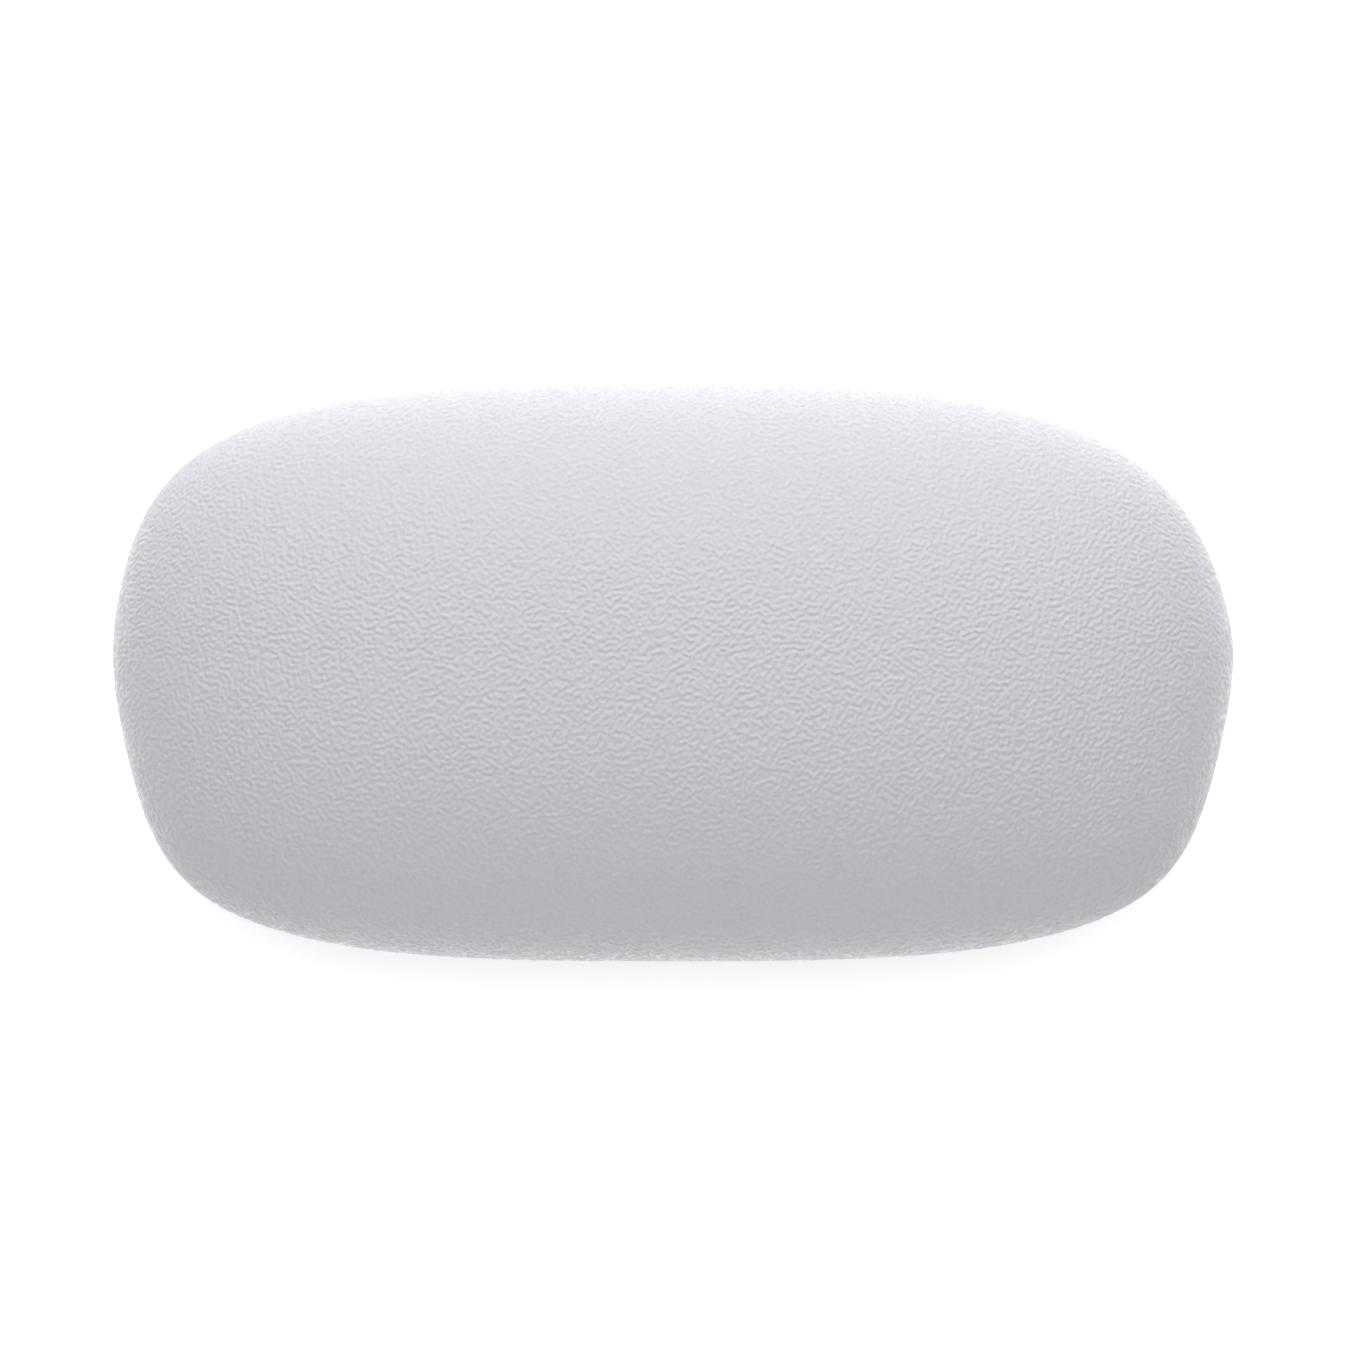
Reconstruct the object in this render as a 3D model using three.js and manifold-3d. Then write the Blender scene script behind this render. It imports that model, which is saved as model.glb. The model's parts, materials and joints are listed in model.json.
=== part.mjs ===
// Bath pillow: a moulded polyurethane cushion for the head, held to the bath by four suction cups.
// A grained front skin and a smooth back skin enclose a soft foam core. Inside the foam lies a
// carrier plate. Four sockets snap through the back into that plate, and each holds a suction cup
// by the mushroom head on its neck, so that the cup swivels and can be pulled out for cleaning.
// Units are millimetres, +Z up. The lips of the cups lie in the plane z = 0, the wall of the bath.
// +X runs along the pillow, +Y towards the rim of the bath and +Z out towards the head.
import * as THREE from "three";
import { mergeVertices } from "three/addons/utils/BufferGeometryUtils.js";
import Module from "manifold-3d";

// Outline of the cushion, seen from the front
const PILLOW_WIDTH = 280;
const PILLOW_HEIGHT = 144;
const WAIST_RISE = 4.5; // the widest line lies this far above mid-height
const EDGE_TAPER = 21; // each end draws in by this from the waist to the upper or lower edge
const WAIST_BLEND = 0.22; // share of the way to those edges over which the taper sets in
const END_EXPONENT = 3.05; // roundness of the four corners, taken along the pillow
const UPPER_EXPONENT = 4.35; // and across it: the upper corners are the rounder ones
const LOWER_EXPONENT = 6.3;
const TOP_LEAN = 5; // the upper edge peaks to the left of the middle
const LEAN_EXPONENT = 1.6;

// Depth of the cushion, in front of and behind the parting line of its mould
const CROWN_HEIGHT = 38;
const CROWN_EXPONENT = 2.25;
const BACK_DEPTH = 18;
const BACK_INSET = 16; // the flat back starts this far inside the outline
const BACK_EXPONENT = 2.2;
const SKIN_THICKNESS = 2;

// Recesses in the back, which let the cups flatten
const RECESS_RADIUS = 23;
const RECESS_DEPTH = 4;
const RECESS_CHAMFER = 1.2;

// Suction cups
const CUP_SPACING_X = 140;
const CUP_SPACING_Y = 54;
const CUP_RADIUS = 20;
const CUP_HEIGHT = 11; // from the lip to the shoulder under the neck
const CUP_SHOULDER_RADIUS = 7.5;
const CUP_FLARE_RADIUS = 14.4; // the wall sweeps from the lip to the shoulder past this point
const CUP_FLARE_HEIGHT = 6.8;
const LIP_WIDTH = 3.4; // flat ring that seals on the wall
const LIP_THICKNESS = 1.2;
const HOLLOW_DEPTH = 7;
const HOLLOW_FLARE_RADIUS = 12.5;
const NECK_RADIUS = 4.7;
const HEAD_RADIUS = 6.8;
const HEAD_HEIGHT = 4.6;
const HEAD_EDGE = 1.2;
const TAB_WIDTH = 9; // pull tab that breaks the seal
const TAB_REACH = 6;
const TAB_THICKNESS = 1.4;
const TAB_LIFT = 0.3; // keeps the tab off the wall
const TAB_ROOT = 2.6; // how far the tab runs into the lip

// Sockets
const FLANGE_RADIUS = 13;
const FLANGE_THICKNESS = 2;
const FLANGE_CHAMFER = 0.7;
const HEAD_ROOM = 1.2; // free space around the mushroom head
const SLEEVE_WALL = 2;
const SLEEVE_TIP = 1.4; // lead-in above the snap bead
const BEAD_HEIGHT = 0.8;
const BEAD_LENGTH = 0.8;
const FINGER_SLOT = 2.4; // slots that let the sleeve's fingers spring

// Carrier plate and the caps that keep foam out of its collars
const CARRIER_MARGIN = 21; // plate beyond the middle of the outer cups
const CARRIER_THICKNESS = 3;
const CARRIER_CORNER = 16;
const RIB_WIDTH = 2.4;
const RIB_HEIGHT = 3.2;
const COLLAR_WALL = 2;
const COLLAR_HEIGHT = 7;
const CAP_WALL = 1.6;
const CAP_CHAMFER = 0.8;
const WINDOW_COUNT = 3; // openings along the plate through which the foam grips it
const WINDOW_HEIGHT = 42;
const WINDOW_BAR = 9; // plate left between neighbouring windows
const WINDOW_CORNER = 7;

const FIT_GAP = 0.3; // clearance between pieces that touch
const OVERCUT = 1; // how far a cutting tool runs past the face that it cuts

// Smoothness of the faceted solids
const OUTLINE_POINTS = 48;
const BEND_WEIGHT = 60; // a radian of bend draws in as many points as this length does
const OUTLINE_SAMPLES = 1600;
const CROWN_STEPS = 10;
const FOAM_STEPS = 5;
const BACK_STEPS = 4;
const RECESS_SEGMENTS = 24;
const CUP_SEGMENTS = 28;
const SOCKET_SEGMENTS = 20;
const CORNER_STEPS = 3;
const CUP_CURVE_STEPS = 4;

// Heights, stacked up from the wall of the bath
const FLANGE_Z = CUP_HEIGHT + FIT_GAP;
const SOCKET_FLOOR_Z = FLANGE_Z + FLANGE_THICKNESS;
const RECESS_Z = SOCKET_FLOOR_Z + FIT_GAP;
const BACK_Z = RECESS_Z - RECESS_DEPTH;
const PARTING_Z = BACK_Z + BACK_DEPTH;
const CROWN_Z = PARTING_Z + CROWN_HEIGHT;
const CARRIER_Z = RECESS_Z + SKIN_THICKNESS + FIT_GAP;
const CARRIER_TOP_Z = CARRIER_Z + CARRIER_THICKNESS;
const BEAD_Z = CARRIER_TOP_Z + FIT_GAP;
const COLLAR_TOP_Z = CARRIER_TOP_Z + COLLAR_HEIGHT;
const CAP_FLOOR_Z = COLLAR_TOP_Z + FIT_GAP;
const CAP_TOP_Z = CAP_FLOOR_Z + CAP_WALL;
const SKIRT_Z = CARRIER_TOP_Z + RIB_HEIGHT + FIT_GAP;

// Radii, stacked out from the axis of a cup
const NECK_HOLE_RADIUS = NECK_RADIUS + FIT_GAP;
const SLEEVE_BORE_RADIUS = HEAD_RADIUS + HEAD_ROOM;
const SLEEVE_RADIUS = SLEEVE_BORE_RADIUS + SLEEVE_WALL;
const SLEEVE_HOLE_RADIUS = SLEEVE_RADIUS + FIT_GAP;
const BEAD_RADIUS = SLEEVE_RADIUS + BEAD_HEIGHT;
const COLLAR_BORE_RADIUS = BEAD_RADIUS + FIT_GAP;
const COLLAR_RADIUS = COLLAR_BORE_RADIUS + COLLAR_WALL;
const SKIRT_BORE_RADIUS = COLLAR_RADIUS + FIT_GAP;
const SKIRT_RADIUS = SKIRT_BORE_RADIUS + CAP_WALL;

const wasm = await Module();
wasm.setup();

// Closed geometry to a solid that can be joined and cut.
function toSolid(geometry) {
  const bare = geometry.clone();
  bare.deleteAttribute("normal");
  bare.deleteAttribute("uv");
  const welded = mergeVertices(bare);
  const vertProperties = welded.attributes.position.array;
  const triVerts = Uint32Array.from(welded.index.array);
  return new wasm.Manifold(new wasm.Mesh({ numProp: 3, vertProperties, triVerts }));
}

function toGeometry(solid) {
  const { vertProperties, triVerts } = solid.getMesh();
  const geometry = new THREE.BufferGeometry();
  geometry.setAttribute("position", new THREE.BufferAttribute(vertProperties, 3));
  geometry.setIndex(new THREE.BufferAttribute(triVerts, 1));
  geometry.computeVertexNormals();
  return geometry;
}

// Solid of revolution about +Z from a profile of (radius, z) points, listed from the bottom up.
function revolve(profile, segments) {
  const geometry = new THREE.LatheGeometry(profile, segments);
  geometry.rotateX(Math.PI / 2);
  return toSolid(geometry);
}

function profileOf(...pairs) {
  return pairs.map(([radius, z]) => new THREE.Vector2(radius, z));
}

// Plain round tool for holes and pockets.
function roundTool(radius, bottom, top) {
  return revolve(profileOf([0, bottom], [radius, bottom], [radius, top], [0, top]), RECESS_SEGMENTS);
}

function extrude(shape, bottom, height) {
  const geometry = new THREE.ExtrudeGeometry(shape, {
    depth: height,
    bevelEnabled: false,
    curveSegments: CORNER_STEPS,
  });
  geometry.translate(0, 0, bottom);
  return toSolid(geometry);
}

function box(width, depth, height, x, y, bottom) {
  const geometry = new THREE.BoxGeometry(width, depth, height);
  geometry.translate(x, y, bottom + height / 2);
  return toSolid(geometry);
}

// Rectangle with round corners about (x, y).
function roundedRectangle(width, height, corner, x = 0, y = 0) {
  const right = x + width / 2;
  const top = y + height / 2;
  const left = x - width / 2;
  const bottom = y - height / 2;
  const shape = new THREE.Shape();
  shape.absarc(right - corner, top - corner, corner, 0, Math.PI / 2);
  shape.absarc(left + corner, top - corner, corner, Math.PI / 2, Math.PI);
  shape.absarc(left + corner, bottom + corner, corner, Math.PI, 1.5 * Math.PI);
  shape.absarc(right - corner, bottom + corner, corner, 1.5 * Math.PI, 2 * Math.PI);
  shape.closePath();
  return shape;
}

// Outline of the cushion drawn in by inset, once round from the right end, anticlockwise.
class PillowOutline extends THREE.Curve {
  constructor(inset) {
    super();
    this.inset = inset;
  }

  getPoint(turn, target = new THREE.Vector2()) {
    const angle = 2 * Math.PI * turn;
    const side = Math.sign(Math.cos(angle));
    const upper = Math.sin(angle) > 0;
    const rise = Math.min(1, Math.abs(Math.sin(angle)));
    const exponent = upper ? UPPER_EXPONENT : LOWER_EXPONENT;
    const across = (1 - rise ** exponent) ** (1 / END_EXPONENT);
    const taper = EDGE_TAPER * (Math.hypot(rise, WAIST_BLEND) - WAIST_BLEND);
    const halfWidth = (PILLOW_WIDTH / 2 - this.inset - taper) * across;
    const lean = upper ? TOP_LEAN * rise ** LEAN_EXPONENT : 0;
    const edge = upper ? PILLOW_HEIGHT / 2 - this.inset : this.inset - PILLOW_HEIGHT / 2;
    return target.set(side * halfWidth - lean, WAIST_RISE + (edge - WAIST_RISE) * rise);
  }
}

// Turns at which the outline is taken, both ends among them, closer together where it bends more.
function outlineTurns() {
  const samples = new PillowOutline(0).getPoints(OUTLINE_SAMPLES);
  const steps = samples.slice(1).map((point, index) => point.clone().sub(samples[index]));
  const travel = [0];
  steps.forEach((step, index) => {
    const before = steps.at(index - 1);
    const bend = Math.abs(Math.atan2(before.cross(step), before.dot(step)));
    travel.push(travel[index] + step.length() + BEND_WEIGHT * bend);
  });
  const left = travel[OUTLINE_SAMPLES / 2];
  return Array.from({ length: OUTLINE_POINTS }, (_, index) => {
    const halves = (2 * index) / OUTLINE_POINTS;
    const goal = halves < 1 ? left * halves : left + (travel.at(-1) - left) * (halves - 1);
    return travel.findIndex((sum) => sum >= goal) / OUTLINE_SAMPLES;
  });
}

// All outlines use the same turns, so that the facets of nested pieces run side by side.
const TURNS = outlineTurns();

function outline(inset) {
  const curve = new PillowOutline(inset);
  return TURNS.map((turn) => curve.getPoint(turn));
}

// The outline shrunk about the waist's middle and laid at height z.
function ring(points, scale, z) {
  return points.map(
    ({ x, y }) => new THREE.Vector3(x * scale, WAIST_RISE + (y - WAIST_RISE) * scale, z),
  );
}

// Quarter of a superellipse, as pairs that run from (1, 0) towards (0, 1).
function quarterTurn(steps, exponent) {
  return Array.from({ length: steps }, (_, step) => {
    const angle = (step / steps) * (Math.PI / 2);
    return [Math.cos(angle) ** (2 / exponent), Math.sin(angle) ** (2 / exponent)];
  });
}

// Rings of the crowned front, from base up to just below the crown.
function crownRings(inset, base, steps) {
  const points = outline(inset);
  const height = CROWN_Z - inset - base;
  return quarterTurn(steps, CROWN_EXPONENT).map(([reach, rise]) =>
    ring(points, reach, base + height * rise),
  );
}

// Rings of the rounded back edge, from the flat back up to the last one below lid.
function backRings(inset, lid) {
  const radius = BACK_INSET - inset;
  const depth = lid - BACK_Z - inset;
  const rounding = quarterTurn(BACK_STEPS, BACK_EXPONENT).map(([reach, drop]) =>
    ring(outline(inset + radius * (1 - reach)), 1, lid - depth * drop),
  );
  const flat = ring(outline(BACK_INSET), 1, BACK_Z + inset);
  return [...rounding, flat].reverse();
}

// Closed solid through rings of points, listed from the lowest up, with a point closing each end.
function loft(rings, topZ) {
  const count = OUTLINE_POINTS;
  const floor = new THREE.Vector3(0, WAIST_RISE, rings[0][0].z);
  const crown = new THREE.Vector3(0, WAIST_RISE, topZ);
  const vertices = [...rings.flat(), floor, crown];
  const floorIndex = rings.length * count;
  const crownIndex = floorIndex + 1;
  const lastRing = floorIndex - count;
  const faces = [];
  for (let i = 0; i < count; i++) {
    const next = (i + 1) % count;
    faces.push(floorIndex, next, i);
    faces.push(crownIndex, lastRing + i, lastRing + next);
    for (let start = 0; start < lastRing; start += count) {
      const above = start + count;
      faces.push(start + i, start + next, above + next);
      faces.push(start + i, above + next, above + i);
    }
  }
  const geometry = new THREE.BufferGeometry().setFromPoints(vertices);
  geometry.setIndex(faces);
  return toSolid(geometry);
}

// Middles of the four cups, named as they lie seen from the front.
const CUPS = [
  { place: "upper_left", side: -1, level: 1 },
  { place: "upper_right", side: 1, level: 1 },
  { place: "lower_left", side: -1, level: -1 },
  { place: "lower_right", side: 1, level: -1 },
].map((cup) => ({
  ...cup,
  x: (cup.side * CUP_SPACING_X) / 2,
  y: (cup.level * CUP_SPACING_Y) / 2,
}));

// Cuts the same tool out of a solid at each cup.
function cutAtCups(solid, tool) {
  return CUPS.reduce((left, { x, y }) => left.subtract(tool.translate([x, y, 0])), solid);
}

function joinAtCups(solid, piece) {
  return CUPS.reduce((sum, { x, y }) => sum.add(piece.translate([x, y, 0])), solid);
}

function frontSkin() {
  const base = PARTING_Z + FIT_GAP / 2;
  const outside = loft(crownRings(0, base, CROWN_STEPS), CROWN_Z);
  const mouth = ring(outline(SKIN_THICKNESS), 1, base - OVERCUT);
  const lining = crownRings(SKIN_THICKNESS, base, CROWN_STEPS);
  const inside = loft([mouth, ...lining], CROWN_Z - SKIN_THICKNESS);
  return outside.subtract(inside);
}

// Pocket for one cup, with a chamfered mouth on the back face.
function recessTool() {
  const mouth = RECESS_RADIUS + RECESS_CHAMFER;
  const profile = profileOf(
    [0, BACK_Z - OVERCUT],
    [mouth, BACK_Z - OVERCUT],
    [mouth, BACK_Z],
    [RECESS_RADIUS, BACK_Z + RECESS_CHAMFER],
    [RECESS_RADIUS, RECESS_Z],
    [0, RECESS_Z],
  );
  return revolve(profile, RECESS_SEGMENTS);
}

function backSkin() {
  const lid = PARTING_Z - FIT_GAP / 2;
  const outside = cutAtCups(loft(backRings(0, lid), lid), recessTool());
  const pocketBack = roundTool(
    RECESS_RADIUS + SKIN_THICKNESS,
    BACK_Z,
    RECESS_Z + SKIN_THICKNESS,
  );
  const mouth = ring(outline(SKIN_THICKNESS), 1, lid + OVERCUT);
  const hollow = loft([...backRings(SKIN_THICKNESS, lid), mouth], lid + OVERCUT);
  const inside = cutAtCups(hollow, pocketBack);
  const sleeveHole = roundTool(SLEEVE_HOLE_RADIUS, BACK_Z, CARRIER_Z);
  return cutAtCups(outside.subtract(inside), sleeveHole);
}

// Foam fills the skins, clear of the carrier plate, its caps and the recesses by the fit gap.
function foamCore() {
  const inset = SKIN_THICKNESS + FIT_GAP;
  const rings = [...backRings(inset, PARTING_Z), ...crownRings(inset, PARTING_Z, FOAM_STEPS)];
  const body = loft(rings, CROWN_Z - inset);
  const recess = roundTool(RECESS_RADIUS + inset, BACK_Z, CARRIER_Z);
  const cap = roundTool(SKIRT_RADIUS + FIT_GAP, CARRIER_Z, CAP_TOP_Z + FIT_GAP);
  return cutAtCups(cutAtCups(body.subtract(carrierBody(FIT_GAP)), recess), cap);
}

// Windows lie in a row between the left and right cups.
function carrierWindows(grow) {
  const row = CUP_SPACING_X - 2 * (SKIRT_RADIUS + WINDOW_BAR);
  const width = (row - (WINDOW_COUNT - 1) * WINDOW_BAR) / WINDOW_COUNT;
  return Array.from({ length: WINDOW_COUNT }, (_, index) => {
    const x = (index - (WINDOW_COUNT - 1) / 2) * (width + WINDOW_BAR);
    return roundedRectangle(
      width - 2 * grow,
      WINDOW_HEIGHT - 2 * grow,
      WINDOW_CORNER - grow,
      x,
    );
  });
}

// Plate with windows, rim and cross ribs, swollen all over by grow to make the foam's cavity.
function carrierBody(grow) {
  const width = CUP_SPACING_X + 2 * (CARRIER_MARGIN + grow);
  const height = CUP_SPACING_Y + 2 * (CARRIER_MARGIN + grow);
  const corner = CARRIER_CORNER + grow;
  const plate = roundedRectangle(width, height, corner);
  plate.holes.push(...carrierWindows(grow));
  const rim = roundedRectangle(width, height, corner);
  const rimWidth = RIB_WIDTH + 2 * grow;
  rim.holes.push(roundedRectangle(width - 2 * rimWidth, height - 2 * rimWidth, corner - rimWidth));
  const bottom = CARRIER_Z - grow;
  const ribTop = CARRIER_TOP_Z + RIB_HEIGHT + grow;
  const flat = extrude(plate, bottom, CARRIER_THICKNESS + 2 * grow);
  const body = flat.add(extrude(rim, bottom, ribTop - bottom));
  return [-1, 1].reduce((sum, level) => {
    const y = (level * CUP_SPACING_Y) / 2;
    const rib = box(CUP_SPACING_X, RIB_WIDTH + 2 * grow, ribTop - CARRIER_Z, 0, y, CARRIER_Z);
    return sum.add(rib);
  }, body);
}

// The plate with a collar around each socket hole.
function carrierPlate() {
  const collar = roundTool(COLLAR_RADIUS, CARRIER_Z, COLLAR_TOP_Z);
  const chamber = roundTool(COLLAR_BORE_RADIUS, CARRIER_TOP_Z, COLLAR_TOP_Z + OVERCUT);
  const sleeveHole = roundTool(SLEEVE_HOLE_RADIUS, CARRIER_Z - OVERCUT, CARRIER_TOP_Z + OVERCUT);
  const withCollars = joinAtCups(carrierBody(0), collar);
  return cutAtCups(cutAtCups(withCollars, chamber), sleeveHole);
}

// Domed cap pressed over a collar.
function socketCap() {
  const profile = profileOf(
    [0, CAP_FLOOR_Z],
    [SKIRT_BORE_RADIUS, CAP_FLOOR_Z],
    [SKIRT_BORE_RADIUS, SKIRT_Z],
    [SKIRT_RADIUS, SKIRT_Z],
    [SKIRT_RADIUS, CAP_TOP_Z - CAP_CHAMFER],
    [SKIRT_RADIUS - CAP_CHAMFER, CAP_TOP_Z],
    [0, CAP_TOP_Z],
  );
  return revolve(profile, SOCKET_SEGMENTS);
}

// Flanged sleeve whose slotted fingers snap behind the carrier plate.
function cupSocket() {
  const beadTop = BEAD_Z + BEAD_LENGTH;
  const tip = beadTop + SLEEVE_TIP;
  const profile = profileOf(
    [NECK_HOLE_RADIUS, FLANGE_Z],
    [FLANGE_RADIUS - FLANGE_CHAMFER, FLANGE_Z],
    [FLANGE_RADIUS, FLANGE_Z + FLANGE_CHAMFER],
    [FLANGE_RADIUS, SOCKET_FLOOR_Z],
    [SLEEVE_RADIUS, SOCKET_FLOOR_Z],
    [SLEEVE_RADIUS, BEAD_Z],
    [BEAD_RADIUS, BEAD_Z],
    [BEAD_RADIUS, beadTop],
    [SLEEVE_RADIUS - BEAD_HEIGHT, tip],
    [SLEEVE_BORE_RADIUS, tip],
    [SLEEVE_BORE_RADIUS, SOCKET_FLOOR_Z],
    [NECK_HOLE_RADIUS, SOCKET_FLOOR_Z],
    [NECK_HOLE_RADIUS, FLANGE_Z],
  );
  const slotFloor = SOCKET_FLOOR_Z + SKIN_THICKNESS;
  const slotHeight = tip - slotFloor + OVERCUT;
  const span = 2 * (BEAD_RADIUS + OVERCUT);
  const slots = box(span, FINGER_SLOT, slotHeight, 0, 0, slotFloor).add(
    box(FINGER_SLOT, span, slotHeight, 0, 0, slotFloor),
  );
  return revolve(profile, SOCKET_SEGMENTS).subtract(slots);
}

// Half section of a cup, from the roof of its hollow, round the lip and up to the mushroom head.
function cupProfile() {
  const sealRadius = CUP_RADIUS - LIP_WIDTH;
  const headZ = SOCKET_FLOOR_Z + FIT_GAP;
  const headTop = headZ + HEAD_HEIGHT;
  const path = new THREE.Path();
  path.moveTo(0, HOLLOW_DEPTH);
  path.quadraticCurveTo(HOLLOW_FLARE_RADIUS, HOLLOW_DEPTH, sealRadius, 0);
  path.lineTo(CUP_RADIUS, 0);
  path.lineTo(CUP_RADIUS, LIP_THICKNESS);
  path.quadraticCurveTo(CUP_FLARE_RADIUS, CUP_FLARE_HEIGHT, CUP_SHOULDER_RADIUS, CUP_HEIGHT);
  path.lineTo(NECK_RADIUS, CUP_HEIGHT);
  path.lineTo(NECK_RADIUS, headZ);
  path.lineTo(HEAD_RADIUS, headZ);
  path.lineTo(HEAD_RADIUS, headZ + HEAD_EDGE);
  path.quadraticCurveTo(HEAD_RADIUS, headTop, 0, headTop);
  return path.getPoints(CUP_CURVE_STEPS);
}

// Suction cup in one soft moulding, with its pull tab along +X.
function suctionCup() {
  const root = CUP_RADIUS - TAB_ROOT;
  const tip = CUP_RADIUS + TAB_REACH - TAB_WIDTH / 2;
  const tab = new THREE.Shape();
  tab.moveTo(root, -TAB_WIDTH / 2);
  tab.lineTo(tip, -TAB_WIDTH / 2);
  tab.absarc(tip, 0, TAB_WIDTH / 2, -Math.PI / 2, Math.PI / 2);
  tab.lineTo(root, TAB_WIDTH / 2);
  tab.closePath();
  return revolve(cupProfile(), CUP_SEGMENTS).add(extrude(tab, TAB_LIFT, TAB_THICKNESS));
}

const SKIN_MATERIAL = new THREE.MeshStandardMaterial({ color: 0xd5d4da, roughness: 0.55, metalness: 0 });
const BACK_MATERIAL = new THREE.MeshStandardMaterial({ color: 0xd0cfd4, roughness: 0.5, metalness: 0 });
const FOAM_MATERIAL = new THREE.MeshStandardMaterial({ color: 0xe9e4d6, roughness: 0.95, metalness: 0 });
const PLATE_MATERIAL = new THREE.MeshStandardMaterial({ color: 0xe6e6e3, roughness: 0.5, metalness: 0 });
const SOCKET_MATERIAL = new THREE.MeshStandardMaterial({ color: 0xc9c9cd, roughness: 0.4, metalness: 0 });
const CUP_MATERIAL = new THREE.MeshStandardMaterial({
  color: 0xdfe6ea,
  roughness: 0.15,
  metalness: 0,
  transparent: true,
  opacity: 0.6,
});

function named(name, solid, material) {
  const mesh = new THREE.Mesh(toGeometry(solid), material.clone());
  mesh.name = name;
  return mesh;
}

const pillow = new THREE.Group();
pillow.add(named("front_skin", frontSkin(), SKIN_MATERIAL));
pillow.add(named("back_skin", backSkin(), BACK_MATERIAL));
pillow.add(named("foam_core", foamCore(), FOAM_MATERIAL));
pillow.add(named("carrier_plate", carrierPlate(), PLATE_MATERIAL));

// Each cup stands with its socket and cap on one axis, with the pull tab towards the nearer end.
for (const { place, side, x, y } of CUPS) {
  const station = new THREE.Group();
  station.position.set(x, y, 0);
  station.rotation.z = side > 0 ? 0 : Math.PI;
  station.add(named(`socket_cap_${place}`, socketCap(), PLATE_MATERIAL));
  station.add(named(`cup_socket_${place}`, cupSocket(), SOCKET_MATERIAL));
  station.add(named(`suction_cup_${place}`, suctionCup(), CUP_MATERIAL));
  pillow.add(station);
}

export default pillow;
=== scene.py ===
"""Bath pillow dressed for its photograph: a grained cushion, its smooth back, clear suction cups and a stage.

Lengths are in metres. +X runs along the pillow, +Y to its upper edge and +Z out towards the head.
The lips of the suction cups lie in the plane z = 0.
"""

import json
import math
from functools import partialmethod

import bmesh
import bpy
import numpy as np
from bpy.props import FloatProperty, FloatVectorProperty, IntProperty, PointerProperty
from mathutils import Matrix, Vector
from mathutils.geometry import delaunay_2d_cdt, tessellate_polygon


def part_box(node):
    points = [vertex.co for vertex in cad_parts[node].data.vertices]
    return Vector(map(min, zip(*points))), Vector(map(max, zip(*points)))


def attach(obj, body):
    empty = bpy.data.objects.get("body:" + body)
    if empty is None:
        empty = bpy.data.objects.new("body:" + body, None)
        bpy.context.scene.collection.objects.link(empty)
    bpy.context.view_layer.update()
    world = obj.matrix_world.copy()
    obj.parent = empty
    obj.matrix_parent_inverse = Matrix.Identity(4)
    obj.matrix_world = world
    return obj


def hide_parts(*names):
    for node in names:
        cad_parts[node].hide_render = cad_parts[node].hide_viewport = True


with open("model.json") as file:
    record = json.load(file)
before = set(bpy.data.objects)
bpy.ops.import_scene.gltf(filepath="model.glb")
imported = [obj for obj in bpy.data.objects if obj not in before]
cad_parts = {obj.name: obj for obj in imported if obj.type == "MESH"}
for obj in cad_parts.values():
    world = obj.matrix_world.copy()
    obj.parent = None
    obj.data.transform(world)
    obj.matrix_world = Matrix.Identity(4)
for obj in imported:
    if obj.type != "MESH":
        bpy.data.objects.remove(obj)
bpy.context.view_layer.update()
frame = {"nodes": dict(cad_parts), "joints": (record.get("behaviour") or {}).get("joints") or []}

bl_info = {
    "name": "Bath Pillow",
    "version": (1, 0, 0),
    "blender": (4, 5, 0),
    "location": "View3D > Sidebar > Bath Pillow",
    "description": "Moulded bath pillow with a leather grain and four suction cups",
    "category": "Add Mesh",
}

FRONT_LOW, FRONT_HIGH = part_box("front_skin")
BACK_LOW, BACK_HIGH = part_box("back_skin")
SOCKET_LOW, SOCKET_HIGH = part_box("cup_socket_upper_right")
CUP_LOW, CUP_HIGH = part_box("suction_cup_upper_right")
CUP_AXES = {joint["child"].removeprefix("cup_"): Vector(joint["pos_m"]) for joint in frame["joints"]}
CARRIER_NODES = ("carrier_plate", *("socket_cap_" + place for place in CUP_AXES))

PILLOW_BODY = "pillow"

# How finely lines and meshes are drawn
OUTLINE_SAMPLES = 6000
OUTLINE_POINTS = 720
SECTION_SAMPLES = 600
UNROLL_POINTS = 61
RING_POINTS = 96
BAR_POINTS = 12
BAR_RINGS = 9
TAB_POINTS = 33
RIM_POINTS = 6
BACK_STEPS = 28
BACK_LINING_STEPS = 12
WALL_STEPS = 24
HEAD_STEPS = 16
MOUTH_STEPS = 6
NET_STEP = 0.004
LINING_STEP = 0.0044
MOUTH_SUPPORT = 0.00015

# Angles in degrees from which the edge between two faces is shaded sharp
SKIN_CREASE = 60.0
BACK_CREASE = 50.0
CUP_CREASE = 45.0
SOCKET_CREASE = 40.0
BLOCK_CREASE = 30.0

# Values kept on each point of a sheet: its ring in the grid, up to 1, and its turn round the outline
SHEET_NOTES = ("ring", "turn")
OUTERMOST_RING = 1.0 - 1e-5

# Places of the share and the two colours among the inputs of a node that mixes colours
MIX_INPUTS = (0, 6, 7)

# Form of the grain, in shares of its pitch
GRAIN_CELLS_PER_PITCH = 8
GRAIN_STEEPNESS = 1.6
GRAIN_COARSEST = 0.52
GRAIN_FINEST = 1.55
GRAIN_SOFTNESS = 0.26

# Height over the rim's round in which the grain sets in
PLAIN_RIM = 0.0015

# Flat layout of the grained skin: lower left corner and width of its two faces, and the rim's widening
FACE_LAYOUT = ((0.01, 0.01), 0.98)
LINING_LAYOUT = ((0.01, 0.64), 0.55)
RIM_BORDER = 1.01

# Crown: the share of a quarter of the outline that counts as its end, and where the foam's bows stop sinking
END_SHARE = 0.36
OUTERMOST_BOW = 0.96

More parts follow.
